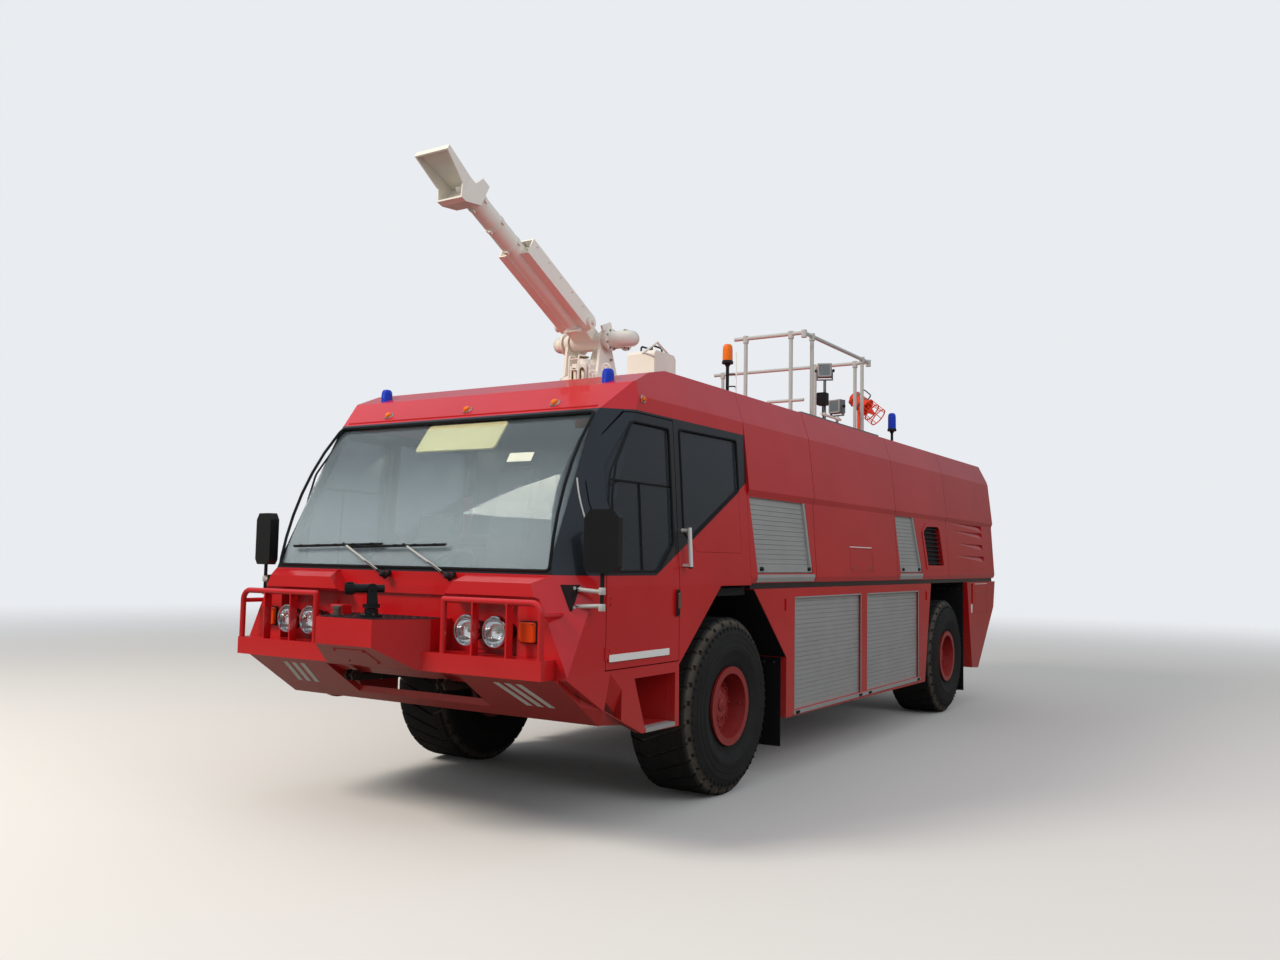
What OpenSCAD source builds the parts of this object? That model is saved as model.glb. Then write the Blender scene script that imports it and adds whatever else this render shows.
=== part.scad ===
/* [Vehicle] */
// Distance between the front and the rear axle
wheelbase = 5720; // [5500:10:5900]
// How far the bumper box reaches ahead of the front axle
nose_reach = 2607; // [2560:1:2700]
// How far the body reaches behind the rear axle
tail_reach = 2155; // [2100:5:2400]
// Half of the body width at the sills
half_w = 1490; // [1460:1:1520]
// Height of the roof edge over the ground
roof_z = 3160; // [3120:5:3240]

/* [Wheels] */
// Outside diameter of a tyre, out to its lug tips
tyre_od = 1350; // [1300:5:1360]
// Width of a tyre
tyre_w = 590; // [520:5:600]
// Diameter of the rim flange
rim_od = 600; // [560:5:640]
// Distance of a tyre's middle from the middle of the vehicle
wheel_x = 1180; // [1170:5:1200]
// Distance of a steering pivot from the middle of the vehicle
kingpin_x = 1000; // [980:5:1020]
// Diameter of the stub that a wheel turns on
stub_d = 120; // [90:5:140]
// Running gap around a stub or a pivot
bore_gap = 0.5; // [0.3:0.1:1]

/* [Cab] */
// Thickness of the cab walls, doors and roof
wall = 60; // [40:1:70]
// Height of the lower edge of the windows
belt_z = 1680; // [1660:5:1720]
// Height of the upper edge of the windows
cant_z = 2805; // [2780:5:2830]
// Rear end of the cab behind the front axle
cab_rear = 257; // [240:1:280]
// Foot of the windscreen ahead of the front axle
screen_foot = 2100; // [2080:1:2120]
// Head of the windscreen ahead of the front axle
screen_head = 1551; // [1530:1:1570]
// How far the windscreen bows out of its chord
screen_bow = 100; // [60:5:110]
// Front edge of a door ahead of the front axle
door_front = 1798; // [1790:1:1810]
// Rear edge of a door ahead of the front axle
door_rear = 870; // [860:1:900]
// Lower edge of a door
door_low = 1080; // [1060:5:1120]
// Gap around a door
door_gap = 7; // [6:1:12]
// Thickness of the glass
glass_t = 8; // [6:1:12]

/* [Body] */
// Height of the lower edge of the upper body
body_z = 1613; // [1600:1:1640]
// Height of the crease where the upper panels overhang
crease_z = 2365; // [2340:5:2400]
// How far the upper panels stand over the lower ones
lip = 22; // [10:1:30]
// Width of the seam between two body sections
seam = 8; // [4:1:14]
// Depth of a locker from the body side inwards
locker_depth = 560; // [450:10:600]
// Height of the lockers' lower edge
locker_z = 465; // [440:5:500]
// Thickness of a roller shutter
shutter_t = 18; // [12:1:24]
// How deep a roller shutter sits in its frame
shutter_in = 24; // [20:1:40]

/* [Roof turret] */
// Height of the tilt axis
turret_z = 3660; // [3620:5:3720]
// Angle of the barrel above level as parked
barrel_up = 28; // [20:1:32]
// Diameter of the barrel tube
barrel_d = 160; // [140:2:180]

/* [Hidden] */
$fn = 64;

// The model is drawn from the front axle and stands with its middle at the origin
tail_y = wheelbase + tail_reach;
mid_y = (tail_y - nose_reach) / 2;
hub_z = tyre_od / 2;

// Body section corners, from the sill up: half width and height
crease_x = half_w - 50;
bend_x = half_w - 90;
bend_z = roof_z - 250;
edge_x = half_w - 170;
crown = 20;

module in_place() translate([0, -mid_y, 0]) children();
module both_sides() { children(); mirror([1, 0, 0]) children(); }
// Draws a (y, z) outline across the vehicle from x0 to x1
module across(x0, x1) translate([x0, 0, 0]) rotate([90, 0, 90]) linear_extrude(height = x1 - x0) children();
// Draws an (x, z) outline along the vehicle from y0 to y1
module along(y0, y1) translate([0, y1, 0]) rotate([90, 0, 0]) linear_extrude(height = y1 - y0) children();
module cross_rod(x0, x1, d) translate([x0, 0, 0]) rotate([0, 90, 0]) cylinder(d = d, h = x1 - x0);
module block(x0, x1, y0, y1, z0, z1) translate([x0, y0, z0]) cube([x1 - x0, y1 - y0, z1 - z0]);
// A round tube between two points
module tube(a, b, d) {
    v = b - a;
    l = norm(v);
    translate(a) rotate([0, acos(v[2] / l), atan2(v[1], v[0])]) cylinder(d = d, h = l);
}
// Everything beyond the plane through point o whose outward direction is n
module beyond(o, n) {
    l = norm(n);
    translate(o) rotate([0, acos(n[2] / l), atan2(n[1], n[0])]) translate([-4000, -4000, 0]) cube([8000, 8000, 3000]);
}

// Cab form
screen_r = let (c = norm([screen_foot - screen_head, cant_z - belt_z]))
    (c * c / 4 + screen_bow * screen_bow) / (2 * screen_bow);
screen_dir = let (v = [screen_foot - screen_head, cant_z - belt_z]) v / norm(v);
screen_mid = [-(screen_foot + screen_head) / 2, (belt_z + cant_z) / 2];
screen_c = screen_mid + (screen_r - screen_bow) * [screen_dir[1], -screen_dir[0]];
front_y = -2200;
roof_front = [-1317, roof_z - 147];
corner_foot = [half_w - 201, -screen_foot, belt_z];
corner_head = [half_w - 247, -screen_head, cant_z];
corner_side = [half_w - 5, -door_front - 82, belt_z];
corner_n = cross(corner_side - corner_foot, corner_head - corner_foot);

module cab_section(t) polygon([
    [-half_w + t, 300], [-half_w + t, body_z], [-crease_x + t, crease_z],
    [-bend_x + t, bend_z], [-edge_x + t, roof_z - t], [0, roof_z + crown - t], [edge_x - t, roof_z - t],
    [bend_x - t, bend_z], [crease_x - t, crease_z], [half_w - t, body_z], [half_w - t, 300]]);
module cab_profile() {
    polygon([[front_y, 1054], [front_y, 1535], [front_y - 22, 1548], [front_y - 18, 1630], [-2135, 1668], [-screen_foot, belt_z],
        [cab_rear, belt_z], [cab_rear, 620], [-door_rear + 13, 631], [-1344, 639], [-1801, 831]]);
    intersection() {
        polygon([[-2400, belt_z], [-2400, 2200], [-screen_head, cant_z], roof_front, [-1090, roof_z - 50],
            [-750, roof_z + crown], [cab_rear, roof_z + crown], [cab_rear, belt_z]]);
        union() {
            translate(screen_c) circle(r = screen_r, $fn = 180);
            translate([-screen_head + 20, belt_z]) square([4000, 3000]);
        }
    }
}
// The cab's outer form, drawn smaller by t on its front, roof and sides
module cab_form(t) difference() {
    intersection() {
        along(-3000, cab_rear) cab_section(t);
        translate([0, t, -t]) across(-half_w - 10, half_w + 10) cab_profile();
        translate([-half_w, -3000, 400 + t]) cube([2 * half_w, 4000, 4000]);
    }
    both_sides() beyond(corner_foot - t * corner_n / norm(corner_n), corner_n);
}
// The door outline on the left side, drawn smaller by g
module door_outline(g) polygon([
    [-door_front + g, door_low + g], [-door_front + g, 2150], [-1768 + g, 2330], [-1655 + g, 2560],
    [-1440 + g, 2790 - g], [-door_rear - g, 2790 - g], [-door_rear - g, door_low + g]]);
module door_window(g) polygon([
    [-1700 + g, belt_z + 30 + g], [-1700 + g, 2200], [-1640 + g, 2420], [-1420 + g, 2720 - g],
    [-door_rear - 70 - g, 2720 - g], [-door_rear - 70 - g, belt_z + 220 + g], [-1150, belt_z + 30 + g]]);
module rear_window(g) polygon([
    [-790 + g, 1990 + g], [-790 + g, 2735 - g], [110 - g, 2745 - g], [110 - g, 1850 + g], [-600, 1850 + g]]);
screen_low = half_w - 228;
screen_high = half_w - 268;
module screen_outline(g) polygon([
    [g - screen_low, belt_z + 25 + g], [g - screen_high, cant_z - 25 - g],
    [screen_high - g, cant_z - 25 - g], [screen_low - g, belt_z + 25 + g]]);
module arch_outline() polygon([
    [-door_rear + 13, 500], [-869, 1058], [-251, 1600], [cab_rear + 40, 1600], [cab_rear + 40, 500]]);
// Door hinges: their axis stands at the outer skin, just behind the door's front edge
hinge_y = -door_front + 3;
hinge_d = 24;
hinge_h = 80;
hinge_z = [1150, 1480];
module door_hinges(gap) for (z = hinge_z)
    translate([half_w, hinge_y, z - gap]) cylinder(d = hinge_d + 2 * gap, h = hinge_h + 2 * gap);
pocket_a = [half_w, -2178, 1427];
pocket_b = [half_w, -1737, 1064];
pocket_c = [half_w - 160, -2225, 1054];
pocket_d = [half_w, -1801, 831];
pocket_n = cross(pocket_c - pocket_a, pocket_b - pocket_a);
pocket_m = cross(pocket_b - pocket_d, pocket_c - pocket_d);
// The three-sided dish in the lower front corner of the cab side
module side_pocket() intersection() {
    beyond(pocket_a, pocket_n);
    beyond(pocket_d, -pocket_m);
    block(0, 2000, -2400, -1600, 700, 1500);
}
step_front = -1450;
module step_recess() translate([half_w - 320, 0, 0]) across(0, 330)
    polygon([[step_front, 1008], [-1305, 655], [-920, 655], [-920, 1008]]);

// Recesses of the front panel: the lamp bay over the bumper beam, and the middle field between the two bulges
lamp_bay_x = half_w - 390;
lamp_bay_y = -2092;
lamp_plate_x = [620, 1080];
lamp_seat = lamp_bay_y - 10;
bay_back = lamp_bay_y + 50;
module front_recess() {
    difference() {
        block(-lamp_bay_x, lamp_bay_x, -2400, lamp_bay_y, beam_top + 2, 1532);
        both_sides() block(lamp_plate_x[0], lamp_plate_x[1], lamp_seat, lamp_bay_y + 1, lamp_z - 122, lamp_z + 138);
    }
    along(-2400, -2112) polygon([[-488, 1531], [488, 1531], [612, 1672], [600, 1700], [-600, 1700], [-612, 1672]]);
    along(-2400, -2100) polygon([[-540, 1592], [540, 1592], [612, 1672], [600, 1700], [-600, 1700], [-612, 1672]]);
}
module cab_lower() color("red") difference() {
    intersection() {
        cab_form(0);
        block(-2000, 2000, -3000, cab_rear, 400, belt_z);
    }
    difference() {
        cab_form(wall);
        block(-2000, 2000, -3000, cab_rear + 1, 400, 500);
        block(-2000, 2000, -3000, bay_back, 400, belt_z + 1);
    }
    front_recess();
    both_sides() {
        across(half_w - 200, half_w + 20) arch_outline();
        across(half_w - 200, half_w + 20) door_outline(0);
        door_hinges(bore_gap);
        step_recess();
        side_pocket();
    }
    block(-half_w - 1, half_w + 1, -2040, cab_rear + 1, 300, 632);
}
module cab_frame() color("black") difference() {
    intersection() {
        cab_form(0);
        block(-2000, 2000, -3000, cab_rear, belt_z, cant_z);
    }
    cab_form(wall);
    both_sides() {
        across(half_w - 200, half_w + 20) door_outline(0);
        across(half_w - 200, half_w + 20) rear_window(0);
    }
    along(-3000, -1300) screen_outline(0);
}
module cab_roof() color("red") difference() {
    intersection() {
        cab_form(0);
        block(-2000, 2000, -3000, cab_rear, cant_z, 4000);
    }
    cab_form(wall);
}
module cab_floor() color("dimgray") intersection() {
    cab_form(wall + 0.3);
    across(-half_w, half_w) polygon([
        [bay_back + 0.3, 1100], [bay_back + 0.3, 1045], [-895, 1045], [-855, 1520], [cab_rear, 1520], [cab_rear, 3200],
        [cab_rear - wall, 3200], [cab_rear - wall, 1580], [-905, 1580], [-935, 1100]]);
}
module glass_sheet() difference() {
    cab_form(14);
    cab_form(14 + glass_t);
}
module cab_glass() color("lightblue", 0.4) {
    intersection() {
        glass_sheet();
        along(-3000, -1300) screen_outline(0.3);
    }
    both_sides() intersection() {
        glass_sheet();
        across(half_w - 200, half_w + 20) rear_window(0.3);
    }
}
module door() {
    difference() {
        intersection() {
            cab_form(0);
            across(half_w - 200, half_w + 20) door_outline(door_gap);
        }
        cab_form(wall);
        across(half_w - 200, half_w + 20) door_window(0);
    }
    door_hinges(0);
    across(half_w - 1, half_w + 8) outline_box(-door_front + 30, -1020, 1134, 1184);
    across(half_w - 1, half_w + 12) outline_box(-935, -897, 1400, 1580);
}
module door_glass() intersection() {
    glass_sheet();
    across(half_w - 200, half_w + 20) door_window(0.3);
}
module door_left() color("red") door();
module door_right() color("red") mirror([1, 0, 0]) door();
module door_glass_left() color("black") door_glass();
module door_glass_right() color("black") mirror([1, 0, 0]) door_glass();
module dashboard() color("dimgray") {
    intersection() {
        cab_form(wall + 0.3);
        across(-half_w, half_w) polygon([[bay_back + 0.3, 1100], [bay_back + 0.3, 1700], [-1840, 1660],
            [-1740, 1540], [-1880, 1100]]);
    }
    tube([0, -1800, 1500], [0, -1640, 1700], 60);
    translate([0, -1640, 1700]) rotate([38, 0, 0]) rotate_extrude() translate([210, 0]) circle(d = 30, $fn = 20);
    translate([0, -1640, 1700]) rotate([38, 0, 0]) block(-210, 210, -25, 25, -8, 8);
}
module seat(y0, z0) {
    block(-210, 210, y0 - 200, y0 + 200, z0, z0 + 280);
    block(-240, 240, y0 - 240, y0 + 240, z0 + 280, z0 + 400);
    translate([0, y0 + 230, z0 + 360]) rotate([-12, 0, 0]) block(-230, 230, 0, 110, 0, 720);
}
module seats() color("dimgray") {
    for (x = [-760, 0, 760]) translate([x, 0, 0]) seat(-1330, 1100);
    for (x = [-760, 760]) translate([x, 0, 0]) seat(-310, 1580);
}

// Chassis and axles
rail_x = 430;
rail_w = 90;
rail_z = 900;
rail_h = 140;
pin_gap = 3;
tow_bore_d = 50;
arm_h = 140;
module chassis_frame() color("dimgray") {
    both_sides() block(rail_x - rail_w / 2, rail_x + rail_w / 2, front_y + 330, tail_y - 120, rail_z, rail_z + rail_h);
    both_sides() {
        for (s = [-1, 1]) across(rail_x + s * 30 - 6, rail_x + s * 30 + 6) polygon([[front_y + 331, rail_z + 5],
            [front_y + 331, rail_z + 50], [front_y + 160, rail_z + 50], [front_y + 100, rail_z + 84],
            [front_y + 60, rail_z + 84], [front_y + 45, rail_z + 50], [front_y + 60, rail_z + 15],
            [front_y + 160, rail_z + 5]]);
        translate([0, front_y + 85, rail_z + 50]) cross_rod(rail_x - 42, rail_x + 42, 30);
    }
    for (y = [-1500, 700, 1900, 3100, 4300, 7000, tail_y - 240])
        block(-rail_x + rail_w / 2, rail_x - rail_w / 2, y, y + 120, rail_z, rail_z + 140);
    difference() {
        block(-90, 90, tail_y - 121, tail_y - 10, rail_z + 30, rail_z + 110);
        translate([0, tail_y - 60, 0]) cylinder(d = tow_bore_d, h = 2000);
    }
}
module engine_block() color("gray")
    block(-440, 440, wheelbase + 250, wheelbase + 1600, rail_z + 140, rail_z + 640);
// Turns an (x, radius) outline about the x axis
module turned() rotate([0, 90, 0]) rotate_extrude($fn = 96) rotate(90) children();
axle_end = wheel_x - 330;
// Axle tube with its differential housing, and stubs that reach out to x1
module axle(y, x1) translate([0, y, hub_z]) turned() polygon([
    [-x1, 0], [-x1, stub_d / 2], [-axle_end, stub_d / 2], [-axle_end, 85], [-230, 85], [-185, 140], [-110, 190],
    [-30, 205], [30, 205], [110, 190], [185, 140], [230, 85], [axle_end, 85], [axle_end, stub_d / 2],
    [x1, stub_d / 2], [x1, 0]]);
module front_axle() color("dimgray") {
    difference() {
        union() {
            axle(0, axle_end + 10);
            both_sides() translate([0, 0, hub_z]) {
                block(kingpin_x - 150, kingpin_x - 90, -80, 80, -arm_h - 40, arm_h + 40);
                for (s = [-1, 1]) translate([kingpin_x, 0, s * (arm_h + 20) - 20]) cylinder(d = 130, h = 40);
                for (s = [-1, 1]) translate([0, 0, s * (arm_h + 20) - 20]) block(kingpin_x - 130, kingpin_x, -65, 65, 0, 40);
            }
        }
        both_sides() translate([kingpin_x, 0, 0]) cylinder(d = 50 + 2 * bore_gap, h = 2000);
    }
}
module rear_axle() color("dimgray") axle(wheelbase, wheel_x + 70);
module leaf_springs() color("dimgray") both_sides() for (y = [0, wheelbase]) {
    translate([0, y, 0]) across(rail_x - 40, rail_x + 40) polygon([
        [-620, rail_z], [-700, rail_z], [-640, rail_z - 50], [-120, hub_z + 85], [120, hub_z + 85],
        [640, rail_z - 50], [700, rail_z], [620, rail_z], [300, rail_z - 60], [-300, rail_z - 60]]);
}
module knuckle() translate([0, 0, hub_z]) {
    translate([kingpin_x, 0, -arm_h + pin_gap]) cylinder(d = 120, h = 2 * (arm_h - pin_gap));
    translate([kingpin_x, 0, -arm_h - 40]) cylinder(d = 50, h = 2 * arm_h + 80);
    cross_rod(kingpin_x, wheel_x + 70, stub_d);
}
module knuckle_left() color("dimgray") knuckle();
module knuckle_right() color("dimgray") mirror([1, 0, 0]) knuckle();

// Wheels, drawn about the x axis with the outer face towards +x
rim_r = rim_od / 2;
seat_r = rim_r - 28;
// Half of the tyre's section, from the bead up to the tread
tyre_half = [[-tyre_w / 2 + 60, seat_r], [-tyre_w / 2 + 40, rim_r + 20], [-tyre_w / 2, rim_r + 130],
    [-tyre_w / 2 + 12, hub_z - 120], [-tyre_w / 2 + 40, hub_z - 45], [-tyre_w / 2 + 75, hub_z]];
// Tread: rows of lugs between grooves that run as a V over the tyre, its tip inboard of the middle
lug_rows = 30;
groove_w = 24;
groove_deep = 30;
notch_deep = 62;
vee_x = -130;
vee_slope = 0.4;
module groove_cut() {
    out = tyre_w / 2 + 10;
    lead = vee_slope * (out - vee_x) / 2;
    back = vee_slope * (out + vee_x) - lead;
    translate([0, 0, hub_z - groove_deep]) linear_extrude(height = 100) polygon([
        [vee_x, -lead - groove_w / 2], [out, lead - groove_w / 2], [out, lead + groove_w / 2],
        [vee_x, -lead + groove_w / 2], [-out, back + groove_w / 2], [-out, back - groove_w / 2]]);
    block(tyre_w / 2 - 58, out, lead - groove_w, lead + groove_w / 2, hub_z - notch_deep, hub_z + 10);
    block(-out, -tyre_w / 2 + 58, back - groove_w, back + groove_w / 2, hub_z - notch_deep, hub_z + 10);
}
module tyre_solid() difference() {
    turned() polygon(concat(tyre_half, [for (i = [len(tyre_half) - 1 : -1 : 0]) [-tyre_half[i][0], tyre_half[i][1]]]));
    for (i = [0 : lug_rows - 1]) rotate([(i + 0.5) * 360 / lug_rows, 0, 0]) groove_cut();
}
module rim_solid() difference() {
    turned() polygon([
        [-tyre_w / 2 + 20, rim_r], [-tyre_w / 2 + 40, rim_r], [-tyre_w / 2 + 40, seat_r - 0.3], [tyre_w / 2 - 40, seat_r - 0.3],
        [tyre_w / 2 - 40, rim_r], [tyre_w / 2 - 20, rim_r], [tyre_w / 2 - 20, seat_r - 25], [130, seat_r - 40],
        [110, 150], [170, 140], [190, 90], [190, 0], [100, 0], [100, stub_d / 2 + bore_gap], [-60, stub_d / 2 + bore_gap],
        [-60, 110], [70, 130], [85, seat_r - 40], [-tyre_w / 2 + 20, seat_r - 25]]);
}
module wheel_at(side, y) translate([side * wheel_x, y, hub_z]) mirror([side < 0 ? 1 : 0, 0, 0]) children();
module tyre_front_left() color("black") wheel_at(1, 0) tyre_solid();
module tyre_front_right() color("black") wheel_at(-1, 0) tyre_solid();
module tyre_rear_left() color("black") wheel_at(1, wheelbase) tyre_solid();
module tyre_rear_right() color("black") wheel_at(-1, wheelbase) tyre_solid();
module rim_front_left() color("red") wheel_at(1, 0) rim_solid();
module rim_front_right() color("red") wheel_at(-1, 0) rim_solid();
module rim_rear_left() color("red") wheel_at(1, wheelbase) rim_solid();
module rim_rear_right() color("red") wheel_at(-1, wheelbase) rim_solid();

// Bumper, apron and front fittings
beam_x = half_w - 95;
beam_y = -2337;
beam_top = 1176;
beam_low = 1054;
box_top = 1380;
guard_z = 1535;
guard_y = -2318;
// Keeps what lies outside the cab's front, with its recesses
module behind_front() difference() {
    children();
    difference() {
        cab_form(0);
        front_recess();
    }
}
module front_bumper() color("red") behind_front() {
    difference() {
        block(-beam_x, beam_x, beam_y, -2150, beam_low + 1, beam_top);
        side_pocket();
        mirror([1, 0, 0]) side_pocket();
    }
    intersection() {
        across(-500, 500) polygon([[-nose_reach, 1205], [-nose_reach, box_top], [-2080, box_top], [-2080, 1056],
            [-2360, 1056]]);
        translate([0, 0, 900]) linear_extrude(height = 600) polygon([[-257, -nose_reach], [257, -nose_reach],
            [462, -2290], [462, -2080], [-462, -2080], [-462, -2290]]);
    }
}
// The sloping plate under the bumper, open in the middle over the towing eyes
apron_open = 620;
module front_apron() color("red") behind_front() {
    difference() {
        intersection() {
            across(-1425, 1425) polygon([[-2230, 1053.7], [-1767, 731], [-1344, 700], [-1344, 740], [-1755, 771],
                [-2175, 1053.7]]);
            translate([0, 0, 600]) linear_extrude(height = 600) polygon([[-965, -1767], [-1425, -1400], [-1425, -2400],
                [1425, -2400], [1425, -1400], [965, -1767]]);
        }
        block(-apron_open, apron_open, -2185, -1860, 700, 1100);
    }
}
guard_x = [595, beam_x - 20];
guard_d = 40;
guard_r = 70;
guard_slats = [845, 1120];
module guard_bars() color("red") both_sides() {
    zt = guard_z - guard_d / 2;
    tube([guard_x[0], guard_y, beam_top], [guard_x[0], guard_y, zt], guard_d);
    translate([guard_x[0], guard_y, zt]) sphere(d = guard_d);
    tube([guard_x[0], guard_y, zt], [guard_x[1] - guard_r, guard_y, zt], guard_d);
    translate([guard_x[1] - guard_r, guard_y, zt - guard_r]) rotate([90, 0, 0])
        rotate_extrude(angle = 90) translate([guard_r, 0]) circle(d = guard_d, $fn = 32);
    tube([guard_x[1], guard_y, beam_top], [guard_x[1], guard_y, zt - guard_r], guard_d);
    for (x = guard_slats) block(x - 6, x + 6, guard_y - 18, guard_y + 42, beam_top, zt);
    behind_front() tube([guard_x[1], guard_y, guard_z - 95], [guard_x[1], -2050, guard_z - 95], 32);
}
lamp_z = 1322;
lamp_x = [731, 965];
lamp_d = 200;
lamp_front = -2262;
lamp_deep = lamp_seat - lamp_front;
indicator = [half_w - 360, half_w - 225, 1262, 1400];
// A headlamp about its own axis: chrome ring, domed lens and the bucket that tapers back to its seat
module headlamp() rotate([90, 0, 0]) rotate_extrude() polygon([
    [0, -lamp_deep], [55, -lamp_deep], [62, 45 - lamp_deep], [lamp_d / 2 - 14, -30],
    [lamp_d / 2, -24], [lamp_d / 2, -5], [lamp_d / 2 - 5, 0], [lamp_d / 2 - 14, 0], [lamp_d / 2 - 17, -7],
    [50, 0], [0, 4]]);
module front_lamps() color("gainsboro") both_sides() {
    for (x = lamp_x) translate([x, lamp_front, lamp_z]) headlamp();
    block(indicator[0], indicator[1], front_y - 40, front_y, indicator[2], indicator[3]);
}
mirror_x = half_w + 86;
module mirrors() color("black") both_sides() {
    behind_front() {
        block(half_w - 160, half_w - 70, -2080, -1960, 1465, 1625);
        tube([half_w - 110, -2030, 1600], [mirror_x, -1973, 1585], 24);
        tube([half_w - 110, -2050, 1490], [mirror_x, -1973, 1500], 24);
    }
    tube([mirror_x, -1973, 1480], [mirror_x, -1973, 1720], 26);
    translate([mirror_x, -1973, 1700]) rotate([0, 0, 12]) along(-35, 35) polygon([[-115, 40], [-80, 0], [80, 0], [115, 40],
        [115, 345], [75, 395], [-75, 395], [-115, 345]]);
}
module wipers() color("black") behind_front() for (x = [-118, 477]) {
    translate([x, -2150, 1640]) rotate([-60, 0, 0]) cylinder(d = 36, h = 90);
    tube([x, -2160, 1655], [x - 490, -2082, 1868], 16);
    tube([x - 1014, -2084, 1845], [x - 100, -2078, 1868], 14);
}
step_lip = 6;
module steps() color("silver") both_sides() {
    block(half_w - 320, half_w + step_lip, -1304, -921, 655, 668);
    block(half_w, half_w + step_lip, -1304, -921, 640, 656);
}
// Upright rails behind the doors, each on two feet
grab_y = -812;
grab_z = [1750, 2000];
grab_out = 62;
module grab_rails() color("black") both_sides() {
    for (z = grab_z) behind_front() tube([side_x(z) - 20, grab_y, z], [side_x(z) + grab_out, grab_y, z], 26);
    tube([side_x(grab_z[0]) + grab_out, grab_y, grab_z[0] - 20], [side_x(grab_z[1]) + grab_out, grab_y, grab_z[1] + 20], 32);
}

// Body
side_slope = (half_w - crease_x) / (crease_z - body_z);
// Half width of the sloping upper side at height z
function side_x(z) = half_w - side_slope * (z - body_z);
sill_band = 45;
sill_in = 18;
crease_band = 50;
module section_outline() polygon([
    [-half_w + sill_in, body_z], [-side_x(body_z + sill_band), body_z + sill_band],
    [-side_x(crease_z - crease_band), crease_z - crease_band], [-crease_x - lip, crease_z],
    [-bend_x, bend_z], [-edge_x, roof_z], [0, roof_z + crown], [edge_x, roof_z], [bend_x, bend_z],
    [crease_x + lip, crease_z], [side_x(crease_z - crease_band), crease_z - crease_band],
    [side_x(body_z + sill_band), body_z + sill_band], [half_w - sill_in, body_z]]);
tail_chamfer_y = 190;
tail_chamfer_z = 210;
// Ends of the body sections behind the front axle
section_y = [cab_rear, 1584, 3800, wheelbase - 30, tail_y];
module section(i) difference() {
    along(section_y[i] + seam / 2, section_y[i + 1] - (i < 3 ? seam / 2 : 0)) section_outline();
    if (i == 3) across(-half_w - 10, half_w + 10) polygon([
        [tail_y + 1, roof_z - tail_chamfer_z], [tail_y - tail_chamfer_y, roof_z + crown + 1], [tail_y + 1, roof_z + 100]]);
}
// What lies inside a (y, z) outline on the sloping side, from a to b under its skin
module side_part(a, b) intersection() {
    along(cab_rear, tail_y + 1) polygon([
        [side_x(body_z) - b, body_z], [side_x(crease_z) - b, crease_z],
        [side_x(crease_z) - a, crease_z], [side_x(body_z) - a, body_z]]);
    across(half_w - 300, half_w + 50) children();
}
module outline_box(y0, y1, z0, z1) translate([y0, z0]) square([y1 - y0, z1 - z0]);
// The seam around a hatch in a side, drawn as a frame of width hatch_seam
hatch_seam = 6;
module hatch_outline(y0, y1, z0, z1) difference() {
    outline_box(y0, y1, z0, z1);
    outline_box(y0 + hatch_seam, y1 - hatch_seam, z0 + hatch_seam, z1 - hatch_seam);
}
// Upper roller shutters: front edge at the top and at the foot, rear edge at the top and at the foot
upper_shutters = [[cab_rear + 38, cab_rear + 128, 1402, 1497],
    [section_y[2] + 15, section_y[2] + 104, section_y[2] + 647, section_y[2] + 845]];
upper_z0 = body_z + 79;
upper_z1 = crease_z - 55;
latch_z = upper_z0 + 60;
module shutter_outline(s) polygon([[s[0], upper_z1], [s[1], upper_z0], [s[3], upper_z0], [s[2], upper_z1]]);
// Where a raked shutter's rear edge stands at height z
function shutter_rear(s, z) = s[3] + (s[2] - s[3]) * (z - upper_z0) / (upper_z1 - upper_z0);
// Lower roller shutters: front edge, rear edge
lower_shutters = [[1100, 2690], [2855, wheelbase - 1230]];
lower_z0 = 530;
lower_z1 = body_z - 123;
slat = 40;
slat_seam = 6;
// Section through a slatted curtain from z0 to z1 whose outer face leans in by k for each unit of height
module curtain(x, z0, z1, k) polygon(concat(
    [[x - shutter_t, z0], [x, z0]],
    [for (z = [z0 + slat : slat : z1 - slat / 2]) each [[x - k * (z - z0 - slat_seam), z - slat_seam],
        [x - k * (z - z0) - slat_seam, z - slat_seam / 2], [x - k * (z - z0), z]]],
    [[x - k * (z1 - z0), z1], [x - k * (z1 - z0) - shutter_t, z1]]));
// Side grilles: the opening's corners as (y, z), and the raised frame around it
grille_low = body_z + 162;
grille_top = crease_z - 129;
grille_y = wheelbase - 949;
module grille_outline(g) translate([grille_y, 0]) polygon([[-g, grille_top - 71], [129 - g / 2, grille_top - 11 + g],
    [549 + g / 2, grille_top + g], [615 + g, grille_top - 30 + g / 2], [715 + g, grille_low - g],
    [99 - g, grille_low - g]]);
grille_deep = 60;
frame_proud = 8;
// Gills in the last section: front end, rear end, height of the upper edge
gills = [[section_y[3] + 10, tail_y - 533, crease_z - 53], [section_y[3] + 144, tail_y - 533, crease_z - 150],
    [section_y[3] + 338, tail_y - 538, crease_z - 305], [section_y[3] + 299, tail_y - 504, crease_z - 462]];
gill_h = 75;
gill_deep = 30;
module gill(g) {
    a = [side_x(g[2]), g[0], g[2]];
    b = [side_x(g[2] - gill_h), g[1], g[2] - gill_h];
    c = [side_x(g[2]) - gill_deep, g[1], g[2]];
    intersection() {
        beyond(a, cross(b - a, c - a)[0] > 0 ? cross(b - a, c - a) : -cross(b - a, c - a));
        block(half_w - 200, half_w + 60, g[0], g[1], g[2] - gill_h, g[2]);
    }
}
hatch = [2430, 3045, body_z + 87, body_z + 317];
module body_section_1() color("red") difference() {
    section(0);
    both_sides() side_part(-5, shutter_in + shutter_t) shutter_outline(upper_shutters[0]);
}
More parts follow.
